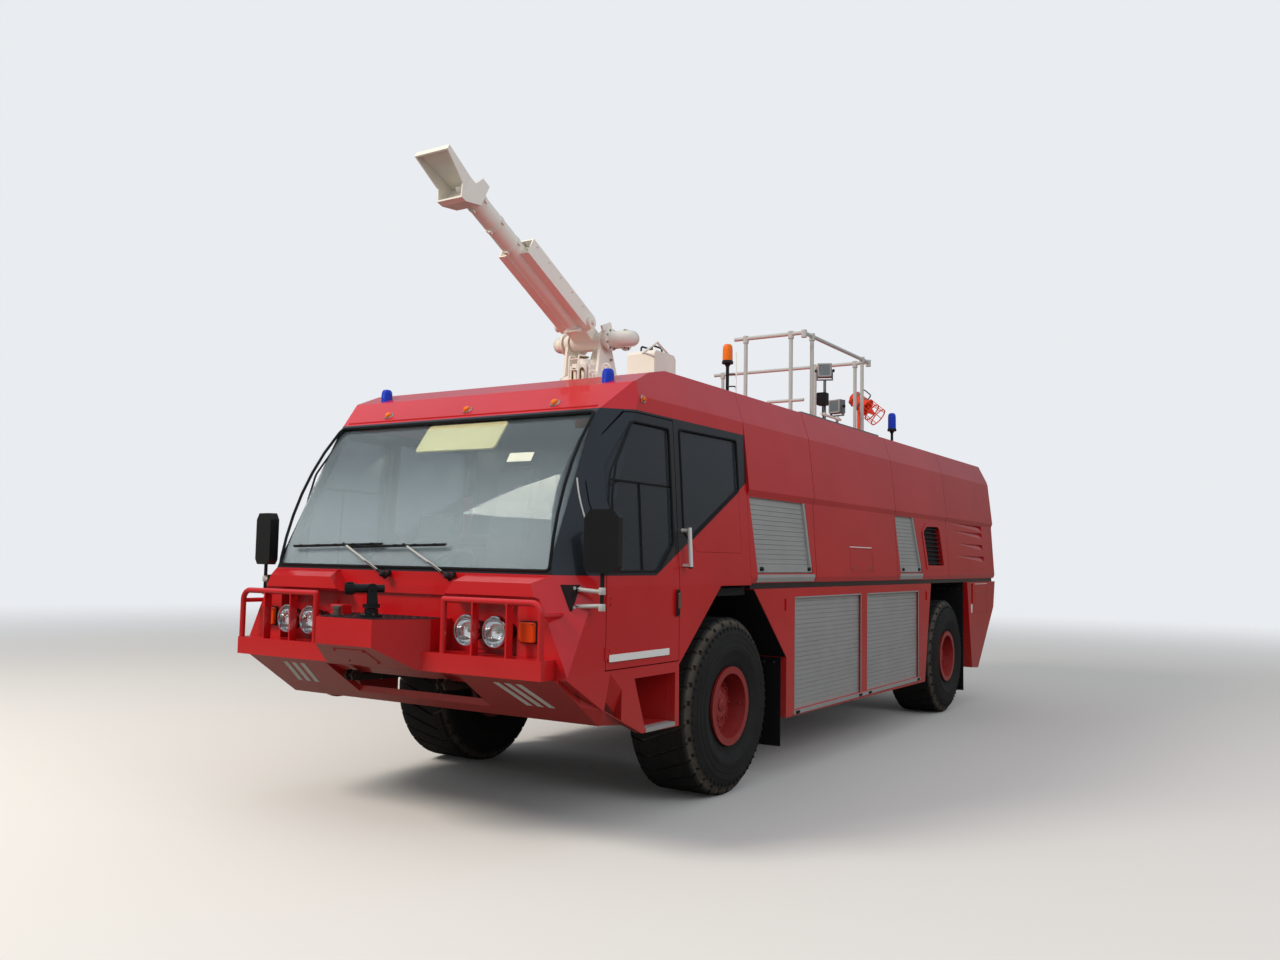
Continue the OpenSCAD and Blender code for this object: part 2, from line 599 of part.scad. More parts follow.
module body_section_2() color("red") difference() {
    section(1);
    both_sides() side_part(-5, hatch_seam) hatch_outline(hatch[0], hatch[1], hatch[2], hatch[3]);
}
module body_section_3() color("red") difference() {
    union() {
        section(2);
        both_sides() side_part(-frame_proud, 20) grille_outline(50);
    }
    both_sides() side_part(-5, shutter_in + shutter_t) shutter_outline(upper_shutters[1]);
    both_sides() side_part(-frame_proud - 5, grille_deep) grille_outline(0);
}
tail_grille = [700, 1730, 2480];
module body_section_4() color("red") difference() {
    section(3);
    both_sides() for (g = gills) gill(g);
    both_sides() block(tail_lamp[0], tail_lamp[1], tail_y - 20, tail_y + 1, tail_lamp[2], tail_lamp[3]);
    block(-tail_grille[0], tail_grille[0], tail_y - grille_deep, tail_y + 1, tail_grille[1], tail_grille[2]);
    for (z = foothold_z) block(foothold_x[0], foothold_x[1], tail_y - foothold_deep, tail_y + 1, z, z + foothold_h);
}
fin_pitch = 50;
module grilles() color("black") {
    both_sides() intersection() {
        side_part(12, grille_deep) grille_outline(0);
        union() {
            side_part(grille_deep - 8, grille_deep) grille_outline(0);
            for (z = [grille_low + 20 : fin_pitch : grille_top]) translate([0, 0, z]) across(half_w - 200, half_w)
                translate([grille_y - 60, 0]) square([840, 12]);
        }
    }
    difference() {
        block(-tail_grille[0], tail_grille[0], tail_y - grille_deep, tail_y - 8, tail_grille[1], tail_grille[2]);
        for (z = [tail_grille[1] + 30 : fin_pitch : tail_grille[2] - 50]) across(-tail_grille[0] + 40, tail_grille[0] - 40)
            polygon([[tail_y, z], [tail_y, z + 34], [tail_y - grille_deep + 10, z + 34], [tail_y - grille_deep + 25, z]]);
    }
}
// Footholds in the rear face, each a pocket with a rung across it
foothold_x = [820, 1120];
foothold_z = [for (z = [body_z + 90 : 290 : roof_z - 450]) z];
foothold_h = 130;
foothold_deep = 110;
module rear_ladder() color("silver") for (z = foothold_z)
    translate([0, tail_y - 35, z + foothold_h / 2]) cross_rod(foothold_x[0], foothold_x[1], 30);
module body_deck() color("dimgray") {
    block(-half_w + 35, half_w - 35, cab_rear + 45, tail_y - 40, body_z - 46, body_z);
    for (y = [1200, 3700]) block(-800, 800, y, y + 140, rail_z + 140, body_z - 46);
    for (y = [wheelbase + 1650]) block(-800, 800, y, y + 140, rail_z + 140, body_z - 46);
}
deck_z = body_z - 46;
locker_front = [[306, deck_z], [935, 985], [935, locker_z + 15]];
locker_rear = [[wheelbase - 1001, locker_z - 10], [wheelbase - 767, deck_z]];
locker_slots = [[885, 925, lower_z1 - 113], [wheelbase - 990, wheelbase - 920, lower_z1 - 113]];
module locker() difference() {
    across(half_w - locker_depth, half_w) polygon(concat(locker_front, locker_rear));
    for (s = lower_shutters) block(half_w - shutter_in - shutter_t, half_w + 1, s[0], s[1], lower_z0, lower_z1);
    for (s = locker_slots) block(half_w - 12, half_w + 1, s[0], s[1], s[2], s[2] + 100);
}
module locker_left() color("red") locker();
module locker_right() color("red") mirror([1, 0, 0]) locker();
sill_strips = [[370, 1530], [3876, 4652]];
module roller_shutters() color("silver") both_sides() {
    for (s = lower_shutters) along(s[0], s[1]) curtain(half_w - shutter_in, lower_z0, lower_z1, 0);
    block(half_w, half_w + 14, lower_shutters[0][0] - 20, lower_shutters[1][1] + 25, lower_z0 - 38, lower_z0 - 8);
    for (s = upper_shutters) {
        intersection() {
            along(s[0], s[3]) curtain(side_x(upper_z0) - shutter_in, upper_z0, upper_z1, side_slope);
            across(half_w - 300, half_w + 50) shutter_outline(s);
        }
        side_part(2, shutter_in + 1) outline_box(s[1] + 2, shutter_rear(s, latch_z) - 4, upper_z0 + 8, latch_z);
        side_part(2, shutter_in + 1) polygon([
            [shutter_rear(s, upper_z1) - 40, upper_z1 - 1], [shutter_rear(s, upper_z1) - 1, upper_z1 - 1],
            [shutter_rear(s, latch_z) - 1, latch_z + 1], [shutter_rear(s, latch_z) - 40, latch_z + 1]]);
    }
    difference() {
        for (s = sill_strips) along(s[0], s[1]) polygon([
            [half_w - sill_in - 20, body_z + 8], [half_w - sill_in + 10, body_z + 8],
            [half_w + 4, body_z + sill_band], [side_x(body_z + 70) + 6, body_z + 70], [half_w - 40, body_z + 70]]);
        along(cab_rear, tail_y) section_outline();
    }
}
skirt_hatch = [wheelbase + 1120, wheelbase + 1730, 1160, 1527];
skirt_slot = [wheelbase + 950, wheelbase + 1030, 1290, 1545];
module rear_skirts() color("red") both_sides() difference() {
    across(half_w - 320, half_w) polygon([
        [wheelbase + 760, deck_z], [wheelbase + 977, 465], [wheelbase + 1266, 444], [wheelbase + 2071, 1218],
        [tail_y, deck_z]]);
    across(half_w - hatch_seam, half_w + 1) hatch_outline(skirt_hatch[0], skirt_hatch[1], skirt_hatch[2], skirt_hatch[3]);
    across(half_w - 30, half_w + 1) outline_box(skirt_slot[0], skirt_slot[1], skirt_slot[2], skirt_slot[3]);
}
tail_lamp = [half_w - 310, half_w - 90, body_z + 87, body_z + 487];
// A stack of round lenses on a plate: stop, tail, turn and fog lamp
module tail_lamps() color("darkred") both_sides() {
    block(tail_lamp[0], tail_lamp[1], tail_y - 20, tail_y - 8, tail_lamp[2], tail_lamp[3]);
    for (z = [tail_lamp[2] + 60 : 93 : tail_lamp[3] - 50], x = (tail_lamp[0] + tail_lamp[1]) / 2)
        translate([x, tail_y - 8, z]) rotate([-90, 0, 0]) cylinder(d1 = 84, d2 = 76, h = 8);
}
module mudflaps() color("black") both_sides() {
    block(half_w - 540, half_w - 50, locker_front[1][0] - 12, locker_front[1][0], 240, 980);
    block(half_w - 540, half_w - 50, wheelbase + 740, wheelbase + 752, 190, deck_z);
}

// Roof
// Height of the crowned roof at distance x from the middle
function roof_at(x) = roof_z + crown * (1 - abs(x) / edge_x);
beacon_d = 90;
// Beacons: base, dome and post by their (x, y) place, the height of the foot of the dome and its own height
module beacon(z0, z1) rotate_extrude() polygon([[0, z0], [beacon_d / 2 + 6, z0], [beacon_d / 2 + 6, z0 + 28],
    [beacon_d / 2, z0 + 34], [beacon_d / 2 - 4, z1 - 16], [beacon_d / 2 - 16, z1 - 3], [0, z1]]);
amber = [900, 930];
rear_blue = [half_w - 265, 4360];
module roof_lamps() {
    for (x = [-810, 0, 810]) color("orange") behind_front() translate([x, -1480, 2890]) sphere(d = 70);
    both_sides() color("blue") behind_front() translate([1090, -1240, 0]) beacon(2900, 3090);
    color("orange") {
        translate([amber[0], amber[1], 0]) beacon(3540, 3720);
        translate([amber[0], amber[1], roof_at(amber[0] - 15)]) cylinder(d = 30, h = 3541 - roof_at(amber[0] - 15));
    }
    color("blue") {
        translate([rear_blue[0], rear_blue[1], 0]) beacon(3300, 3510);
        translate([rear_blue[0], rear_blue[1], roof_at(rear_blue[0] - 15)])
            cylinder(d = 30, h = 3301 - roof_at(rear_blue[0] - 15));
    }
}
rail_d = 40;
rail_top = 4090;
rail_low = 3410;
fitting_d = 58;
deck_top = roof_z - 1;
rail_front = 2380;
rail_back = 4200;
rail_side = half_w - 490;
rail_posts = [[349, rail_front], [857, rail_front], [rail_side, 2580], [rail_side, 4000], [840, rail_back],
    [344, rail_back], [-883, rail_back]];
module roof_rails() color("silver") {
    tube([220, rail_front, rail_top], [rail_side, rail_front, rail_top], rail_d);
    tube([rail_side, rail_front, rail_top], [rail_side, rail_back, rail_top], rail_d);
    tube([-rail_side, rail_back, rail_top], [rail_side, rail_back, rail_top], rail_d);
    for (p = rail_posts)
        translate([p[0], p[1], roof_at(abs(p[0]) - rail_d / 2)])
            cylinder(d = rail_d, h = rail_top - roof_at(abs(p[0]) - rail_d / 2));
    tube([600, rail_front, rail_low], [rail_side, rail_front, rail_low], 32);
    for (p = concat(rail_posts, [[rail_side, rail_front], [rail_side, rail_back]]))
        translate([p[0], p[1], rail_top - 48]) cylinder(d = fitting_d, h = 74);
}
// A square floodlight that stands on a stalk: place, height of its middle, turn
floodlights = [[800, 3400, 3880, 20], [800, 3760, 3530, -15]];
flood_w = 150;
module floodlight(f) {
    translate([f[0], f[1], f[2]]) rotate([0, 0, f[3]]) {
        block(-flood_w / 2, flood_w / 2, -50, 50, -flood_w / 2, flood_w / 2);
        for (s = [-1, 1]) block(s * (flood_w / 2 + 7) - 7, s * (flood_w / 2 + 7) + 7, -15, 15, -flood_w / 2 - 20, 12);
        block(-flood_w / 2 - 14, flood_w / 2 + 14, -15, 15, -flood_w / 2 - 32, -flood_w / 2 - 20);
    }
    translate([f[0], f[1], roof_at(f[0] - 16)]) cylinder(d = 32, h = f[2] - flood_w / 2 - 21 - roof_at(f[0] - 16));
}
walk_x = [half_w - 470, half_w - 260];
// A portable foam generator stowed at the rails' rear: its drum, and the open cage at its mouth
foam_at = [800, 4670, 3640];
foam_dip = 130;
foam_d = 180;
module foam_unit() translate(foam_at) rotate([0, foam_dip, 0]) {
    translate([0, 0, -200]) cylinder(d = foam_d, h = 200);
    translate([0, 0, -230]) cylinder(d = 90, h = 31);
    translate([0, 0, -8]) cylinder(d = foam_d + 50, h = 16);
    for (z = [90, 190]) translate([0, 0, z]) difference() {
        cylinder(d = foam_d + 50, h = 10);
        translate([0, 0, -1]) cylinder(d = foam_d + 28, h = 12);
    }
    for (a = [0 : 45 : 315]) rotate([0, 0, a]) translate([foam_d / 2 + 19, 0, 7]) cylinder(d = 9, h = 190, $fn = 16);
}
module roof_equipment() color("gray") {
    block(walk_x[0], walk_x[1], 1800, 3900, roof_at(walk_x[0]) + 0.3, roof_z + 45);
    for (f = floodlights) floodlight(f);
    foam_unit();
    translate([foam_at[0] - 70, foam_at[1], roof_at(foam_at[0] - 110)]) cylinder(d = 80, h = 3650 - roof_at(foam_at[0] - 110));
}

// Roof turret: it pans about the upright axis at turret_y and tilts about the cross axis at tilt_y
turret_y = 150;
tilt_y = 50;
base_d = 640;
base_top = roof_z + 130;
head_low = base_top + 5;
head_top = head_low + 45;
spigot_d = 200;
yoke_x = 160;
yoke_t = 25;
trunnion_d = 60;
pipe_d = 140;
feed_y = 275;
feed_z = turret_z + 40;
tail_box_x = 150;
tail_box_z = turret_z + 75;
// Valve block on the roof ahead of the turret's foot
valve_x = [100, 240];
valve_y = [-320, -185];
valve_z = 3400;
// Bent guard bar that runs from the tail box towards the turret
tiller_d = 22;
tiller = [[140, 1180, tail_box_z - 8], [140, 960, tail_box_z + 78], [140, 720, tail_box_z - 62], [140, 905, tail_box_z - 62]];
module turret_base() color("white") difference() {
    union() {
        translate([0, turret_y, roof_z - 30]) cylinder(d = base_d, h = base_top - roof_z + 30);
        across(-90, 90) polygon([[turret_y + base_d / 2 - 30, roof_z - 30], [turret_y + base_d / 2 - 30, base_top - 20],
            [turret_y + base_d / 2 + 30, base_top - 20], [turret_y + base_d / 2 + 30, roof_z + 190],
            [1180, roof_z + 190], [1180, roof_z - 30]]);
        across(-tail_box_x, tail_box_x) polygon([[900, roof_z - 30], [900, tail_box_z - 30], [930, tail_box_z],
            [1255, tail_box_z], [1290, tail_box_z - 35], [1290, roof_z - 30]]);
        block(valve_x[0], valve_x[1], valve_y[0], valve_y[1], roof_z - 30, valve_z);
        translate([(valve_x[0] + valve_x[1]) / 2, (valve_y[0] + valve_y[1]) / 2, valve_z - 1]) cylinder(d = 110, h = 41);
        for (x = [valve_x[0] - 24, valve_x[1] + 24]) {
            translate([x, valve_y[0] + 25, roof_z + 54]) cylinder(d = 24, h = valve_z - roof_z - 68);
            for (z = [roof_z + 70, valve_z - 30]) translate([0, valve_y[0] + 25, z])
                cross_rod(min(x, valve_x[1] - 5), max(x, valve_x[0] + 5), 18);
        }
        for (i = [0 : len(tiller) - 2]) {
            tube(tiller[i], tiller[i + 1], tiller_d);
            translate(tiller[i]) sphere(d = tiller_d + 8);
        }
    }
    cab_form(0);
    section(0);
    translate([0, turret_y, roof_z + 40]) cylinder(d = spigot_d + 2 * bore_gap, h = 200);
}
// Half of the swan neck's bend, from the feed pipe round to the tilt axis
flange_d = 190;
flange_t = 24;
neck_x = yoke_x + yoke_t + 50;
neck_run = [feed_y - tilt_y, feed_z - turret_z];
module feed_bend() {
    translate([neck_x, tilt_y + neck_run[0] / 2, turret_z + neck_run[1] / 2])
        rotate([atan2(neck_run[1], neck_run[0]), 0, 0]) rotate([0, 0, -90])
            rotate_extrude(angle = 180) translate([norm(neck_run) / 2, 0]) circle(d = pipe_d);
    for (p = [[tilt_y, turret_z], [feed_y, feed_z]])
        translate([0, p[0], p[1]]) cross_rod(neck_x - flange_t / 2, neck_x + flange_t / 2, flange_d);
}
module turret_head() color("white") difference() {
    union() {
        translate([0, turret_y, head_low]) cylinder(d = base_d - 40, h = head_top - head_low);
        translate([0, turret_y, roof_z + 50]) cylinder(d = spigot_d, h = head_top - roof_z - 50);
        translate([0, turret_y, head_top]) cylinder(d = 180, h = 90);
        translate([0, turret_y, head_top + 90]) sphere(d = 196);
        tube([0, turret_y, head_top + 90], [0, feed_y, feed_z], 130);
        translate([0, feed_y, feed_z]) cross_rod(-neck_x, neck_x, pipe_d);
        both_sides() {
            across(yoke_x, yoke_x + yoke_t) polygon([[-70, head_top - 1], [245, head_top - 1], [tilt_y + 80, turret_z - 40],
                [tilt_y + 40, turret_z + 20], [tilt_y - 40, turret_z + 20], [tilt_y - 80, turret_z - 40]]);
            translate([0, tilt_y, turret_z]) cross_rod(yoke_x, yoke_x + yoke_t, 176);
            translate([0, tilt_y, turret_z]) cross_rod(yoke_x + yoke_t - 1, neck_x, pipe_d + 12);
            feed_bend();
        }
        difference() {
            across(yoke_x + yoke_t - 1, yoke_x + yoke_t + 20) polygon([[tilt_y - 92, turret_z + 110],
                [tilt_y + 37, turret_z + 163], [tilt_y + 125, turret_z + 2], [tilt_y + 50, turret_z - 20],
                [tilt_y - 50, turret_z + 40]]);
            for (p = [[24, 67], [85, 30]])
                translate([0, tilt_y + p[0], turret_z + p[1]]) cross_rod(yoke_x, yoke_x + yoke_t + 40, 26);
        }
    }
    both_sides() translate([0, tilt_y, turret_z]) cross_rod(yoke_x - 1, yoke_x + yoke_t + 20, trunnion_d + 2 * bore_gap);
}
// The barrel is drawn level, pointing ahead, and tilted up about the tilt axis
module barrel_frame() translate([0, tilt_y, turret_z]) rotate([-barrel_up, 0, 0]) children();
// Distances along the barrel from the tilt axis, and heights over the barrel's own axis
shroud_s = [195, 1166];
shroud_h = [-45, 98];
shroud_x = 150;
pin_s = 235;
tube_end = 1800;
mouth_end = 2245;
tube_wall = 8;
module turret_barrel() color("white") barrel_frame() difference() {
    union() {
        cross_rod(-yoke_x + 5, yoke_x - 5, 140);
        cross_rod(-yoke_x - yoke_t - 10, yoke_x + yoke_t + 10, trunnion_d);
        block(-100, 100, -shroud_s[0] - 5, 0, -44, 70);
        difference() {
            block(-shroud_x, shroud_x, -shroud_s[1], -shroud_s[0], shroud_h[0], shroud_h[1]);
            block(12 - shroud_x, shroud_x - 12, -shroud_s[1] - 1, 60 - shroud_s[1], shroud_h[0] + 12, shroud_h[1] - 12);
        }
        both_sides() translate([0, -pin_s, 8]) cross_rod(shroud_x - 5, shroud_x + 32, 104);
        across(-60, 90) polygon([[-shroud_s[0], shroud_h[0] + 1], [-shroud_s[0] - 60, shroud_h[0] + 1],
            [-shroud_s[0] - 75, shroud_h[0] - 55], [-shroud_s[0] - 67, shroud_h[0] - 58]]);
        translate([0, -shroud_s[0] - 10, 0]) rotate([90, 0, 0]) cylinder(d = barrel_d, h = tube_end - shroud_s[0] - 10);
    }
    translate([0, 500 - tube_end, 0]) rotate([90, 0, 0]) cylinder(d = barrel_d - 2 * tube_wall, h = 501);
}
// The mouth: a housing round the tube's end, and a scoop that widens from it, open ahead and below
module mouth_plan(t) linear_extrude(height = 700, center = true) polygon([
    [t - 120, -tube_end], [t - 120, -tube_end - 130], [t - 160, -mouth_end - 1],
    [160 - t, -mouth_end - 1], [120 - t, -tube_end - 130], [120 - t, -tube_end]]);
module turret_mouth() color("white") barrel_frame() difference() {
    union() {
        across(-120, 120) polygon([[-tube_end + 60, -barrel_d / 2 - 20], [-tube_end + 60, barrel_d / 2 + 12],
            [-tube_end - 25, barrel_d / 2 + 12], [-tube_end - 65, 0], [-tube_end - 130, -200], [-tube_end - 75, -190]]);
        intersection() {
            across(-170, 170) polygon([[-tube_end - 10, 0], [-mouth_end, -5], [-mouth_end, -45], [-tube_end - 175, -109],
                [-tube_end - 130, -200], [-tube_end - 60, -160]]);
            mouth_plan(0);
        }
    }
    intersection() {
        across(-170, 170) polygon([[-tube_end - 62, -12], [12 - mouth_end, -17], [12 - mouth_end, -48],
            [-mouth_end - 1, -48], [-mouth_end - 1, -260], [-tube_end - 145, -260], [-tube_end - 136, -188],
            [-tube_end - 90, -150]]);
        mouth_plan(12);
    }
    translate([0, 61 - tube_end, 0]) rotate([90, 0, 0]) cylinder(d = barrel_d, h = 61);
    translate([0, 61 - tube_end, 0]) rotate([90, 0, 0]) cylinder(d = barrel_d - 2 * tube_wall, h = 140);
}

// Bumper turret: it pans about the upright axis at (nozzle_x, nozzle_y)
nozzle_x = 85;
nozzle_y = 157 - nose_reach;
nozzle_z = box_top + 190;
nozzle_turn = 40;
nozzle_pin = 24;
module bumper_turret_base() color("black") translate([nozzle_x, nozzle_y, box_top]) difference() {
    union() {
        cylinder(d = 150, h = 20);
        cylinder(d = 90, h = 60);
    }
    translate([0, 0, 25]) cylinder(d = 50 + 2 * bore_gap, h = 60);
}
module nozzle_frame(z) translate([nozzle_x, nozzle_y, z]) rotate([0, 0, -nozzle_turn]) children();
module bumper_turret_head() color("black") nozzle_frame(box_top) difference() {
    union() {
        translate([0, 0, 30]) cylinder(d = 50, h = 40);
        translate([0, 0, 65]) cylinder(d = 110, h = 25);
        for (s = [-1, 1]) across(s * 50 - 8, s * 50 + 8) polygon([[-28, 89], [38, 89], [28, 190], [-28, 190]]);
        for (s = [-1, 1]) translate([0, 0, 190]) cross_rod(s * 50 - 8, s * 50 + 8, 56);
    }
    translate([0, 0, 190]) cross_rod(-80, 80, nozzle_pin + 2 * bore_gap);
}
module bumper_turret_nozzle() color("black") nozzle_frame(nozzle_z) {
    cross_rod(-70, 70, nozzle_pin);
    cross_rod(-36, 36, 66);
    rotate([90, 0, 0]) cylinder(d = 56, h = 120);
    translate([0, -110, 0]) rotate([90, 0, 0]) cylinder(d = 76, h = 60);
    rotate([-90, 0, 0]) cylinder(d = 50, h = 80);
}

in_place() chassis_frame();
in_place() engine_block();
in_place() front_axle();
in_place() rear_axle();
in_place() leaf_springs();
in_place() knuckle_left();
in_place() knuckle_right();
in_place() tyre_front_left();
in_place() tyre_front_right();
in_place() tyre_rear_left();
in_place() tyre_rear_right();
in_place() rim_front_left();
in_place() rim_front_right();
in_place() rim_rear_left();
in_place() rim_rear_right();
in_place() cab_lower();
in_place() cab_frame();
in_place() cab_roof();
in_place() cab_floor();
in_place() cab_glass();
in_place() door_left();
in_place() door_right();
in_place() door_glass_left();
in_place() door_glass_right();
in_place() dashboard();
in_place() seats();
in_place() front_bumper();
in_place() front_apron();
in_place() guard_bars();
in_place() front_lamps();
in_place() mirrors();
in_place() wipers();
in_place() steps();
in_place() grab_rails();
in_place() body_deck();
in_place() body_section_1();
in_place() body_section_2();
in_place() body_section_3();
in_place() body_section_4();
in_place() locker_left();
in_place() locker_right();
in_place() roller_shutters();
in_place() rear_skirts();
in_place() grilles();
in_place() rear_ladder();
in_place() tail_lamps();
in_place() mudflaps();
in_place() roof_lamps();
in_place() roof_rails();
in_place() roof_equipment();
in_place() turret_base();
in_place() turret_head();
in_place() turret_barrel();
in_place() turret_mouth();
in_place() bumper_turret_base();
in_place() bumper_turret_head();
in_place() bumper_turret_nozzle();
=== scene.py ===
# %% [markdown]
# # An airport fire truck, dressed part by part
# The solids of the truck are loaded as a fixed frame: every node is already in its place, in metres. This lesson gives
# each of them the finish of the real thing, and adds the small forms that a maker would press, weld or screw on:
# bolts, wiring, lamp reflectors and seat cushions.

# %% Load the frame
from math import cos, pi, radians, sin

import bmesh
import bpy
from mathutils import Matrix, Vector


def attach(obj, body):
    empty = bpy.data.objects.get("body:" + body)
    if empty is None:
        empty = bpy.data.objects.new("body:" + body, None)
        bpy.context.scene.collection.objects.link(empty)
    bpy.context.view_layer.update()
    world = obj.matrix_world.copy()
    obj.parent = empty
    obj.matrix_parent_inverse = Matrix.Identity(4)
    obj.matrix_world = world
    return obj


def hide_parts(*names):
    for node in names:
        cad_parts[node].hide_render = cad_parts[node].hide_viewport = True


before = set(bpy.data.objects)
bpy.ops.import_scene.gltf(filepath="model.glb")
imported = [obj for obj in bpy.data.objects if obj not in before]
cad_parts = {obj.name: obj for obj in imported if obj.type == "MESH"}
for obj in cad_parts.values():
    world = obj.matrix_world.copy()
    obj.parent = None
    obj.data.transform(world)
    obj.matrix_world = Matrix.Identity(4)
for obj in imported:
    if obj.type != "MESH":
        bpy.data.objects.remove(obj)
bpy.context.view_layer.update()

# %% [markdown]
# ## Camera
# The viewpoint is that of somebody who stands off the truck's left front corner, a little above eye height. Place,
# turn and lens were solved from the wheel hubs, the cab's corners and the seams of the body, so the render has the
# same perspective as the view they were taken from. A camera matrix takes the three directions directly, which
# is easier to trust than three chained Euler angles.

# %% Camera
SENSOR_WIDTH = 36.0
LENS = 30.0
EYE = Vector((5.297, -10.062, 1.794))
YAW, PITCH, ROLL = radians(32.381), radians(4.22), radians(1.012)


def look_matrix(eye, yaw, pitch, roll):
    """Camera matrix: yaw turns left from +Y, pitch looks up, roll leans the picture."""
    ahead = Vector((-sin(yaw) * cos(pitch), cos(yaw) * cos(pitch), sin(pitch)))
    right = Vector((cos(yaw), sin(yaw), 0.0))
    up = right.cross(ahead)
    leaned_right = right * cos(roll) + up * sin(roll)
    leaned_up = up * cos(roll) - right * sin(roll)
    turn = Matrix((leaned_right, leaned_up, -ahead)).transposed().to_4x4()
    return Matrix.Translation(eye) @ turn


camera_data = bpy.data.cameras.new("photo_camera")
camera_data.sensor_width, camera_data.lens, camera_data.clip_end = SENSOR_WIDTH, LENS, 200.0
camera = bpy.data.objects.new("photo_camera", camera_data)
camera.matrix_world = look_matrix(EYE, YAW, PITCH, ROLL)
bpy.context.scene.collection.objects.link(camera)
bpy.context.scene.camera = camera
print("camera stands", round((EYE - Vector((0, 0, EYE.z))).length, 2), "m from the middle of the truck")

# %% [markdown]
# ## Helpers for node trees
# Every finish below is a node material. One function adds a node, with its settings and its links, and short methods
# name the kinds that come back everywhere, so that a material reads as a list of what it is made of. Colours are the
# hex values of a paint chart, and one function turns them into the linear values that the renderer mixes.

# %% Node and colour helpers


def linear(hex_colour):
    """sRGB hex such as 'c8102e' to a linear RGBA tuple."""
    channels = [int(hex_colour[i:i + 2], 16) / 255 for i in (0, 2, 4)]
    return tuple(c / 12.92 if c <= 0.04045 else ((c + 0.055) / 1.055) ** 2.4 for c in channels) + (1.0,)


class Finish:
    """A node tree being made. Its methods add nodes; inputs are values, hex colours, or sockets to link."""

    def __init__(self, owner, output="OutputMaterial"):
        owner.use_nodes = True
        self.owner, self.tree, self.output = owner, owner.node_tree, output
        self.tree.nodes.clear()

    def add(self, kind, inputs=None, out=0, **settings):
        """Add one node and return one of its outputs."""
        made = self.tree.nodes.new("ShaderNode" + kind)
        for name, value in settings.items():
            setattr(made, name, value)
        for key, value in (inputs or {}).items():
            if isinstance(value, bpy.types.NodeSocket):
                self.tree.links.new(value, made.inputs[key])
            else:
                made.inputs[key].default_value = linear(value) if isinstance(value, str) else value
        return made.outputs[out]

    def place(self, axis=None):
        """The object's own coordinates, or one of them."""
        place = self.add("TexCoord", out="Object")
        return self.add("SeparateXYZ", {0: place}, axis) if axis else place

    def noise(self, size_mm, detail, roughness=0.5):
        """Soft blobs about size_mm across."""
        return self.add("TexNoise", {"Vector": self.place(), "Scale": 1000 / size_mm, "Detail": detail,
            "Roughness": roughness}, "Fac")

    def mix(self, factor, first, second):
        return self.add("Mix", {"Factor": factor, "A": first, "B": second}, "Result", data_type="RGBA")

    def math(self, operation, *values):
        return self.add("Math", dict(enumerate(values)), operation=operation)

    def span(self, value, low, high, to_low=0.0, to_high=1.0, **settings):
        """Stretch a range of values over another one."""
        return self.add("MapRange", {"Value": value, "From Min": low, "From Max": high, "To Min": to_low,
            "To Max": to_high}, **settings)

    def bump(self, height, strength, distance):
        return self.add("Bump", {"Height": height, "Strength": strength, "Distance": distance})

    def blend(self, factor, first, second):
        return self.add("MixShader", {0: factor, 1: first, 2: second})

    def ray(self, kind):
        return self.add("LightPath", out="Is %s Ray" % kind)

    def close(self, shader):
        """Link the last shader to the output."""
        self.tree.links.new(shader, self.tree.nodes.new("ShaderNode" + self.output).inputs["Surface"])
        return self.owner

    def principled(self, colour, roughness, **inputs):
        """End with the standard surface."""
        named = {key.replace("_", " ").title(): value for key, value in inputs.items() if key != "ior"}
        if "ior" in inputs:
            named["IOR"] = inputs["ior"]
        return self.close(self.add("BsdfPrincipled", {"Base Color": colour, "Roughness": roughness, **named}))


def material(name):
    return Finish(bpy.data.materials.new(name))


def show(name, data):
    """Put an object with this mesh, camera or lamp into the scene."""
    made = bpy.data.objects.new(name, data)
    bpy.context.scene.collection.objects.link(made)
    return made


# %% [markdown]
# ## Floor, backdrop and light
# A pale floor that fades into the backdrop keeps the picture plain. The light is soft and even: one broad lamp high
# on the side that the sun stood on, a weaker one on the other side, and a bright surround. Their sum is kept near the
# level at which a mid grey comes out as that same mid grey, so every colour can be read as it was written. Gloss paint
# would mirror a white room and turn pink, so mirror rays see a grey ground that clears towards a blue-grey sky.

# %% Floor and light
FLOOR_REACH, FADE_FROM, FADE_TO, SURROUND = 60.0, 9.0, 32.0, 0.68
floor_mesh = bpy.data.meshes.new("studio_floor")
floor_mesh.from_pydata([(x * FLOOR_REACH, y * FLOOR_REACH, 0) for x, y in ((-1, -1), (1, -1), (1, 1), (-1, 1))], [],
    [(0, 1, 2, 3)])
floor = show("studio_floor", floor_mesh)

paint = material("pale_floor_with_painted_bounce_shade")
tone = paint.mix(paint.add("TexNoise", {"Scale": 2.5, "Detail": 3.0}, "Fac"), "d2d0cb", "dad8d4")
# To the camera the floor shows its pale tone. To every other ray it is the dark grey 6f6a63, a painted shade that
# darkens the light the floor bounces onto the truck's undersides and the floor that the paint mirrors.
solid = paint.add("BsdfPrincipled", {"Base Color": paint.mix(paint.ray("Camera"), "6f6a63", tone), "Roughness": 0.85})
from_middle = paint.add("VectorMath", {0: paint.place()}, "Value", operation="LENGTH")
faded = paint.span(from_middle, FADE_FROM, FADE_TO, interpolation_type="SMOOTHSTEP")
floor_mesh.materials.append(paint.close(paint.blend(faded, solid, paint.add("BsdfTransparent"))))

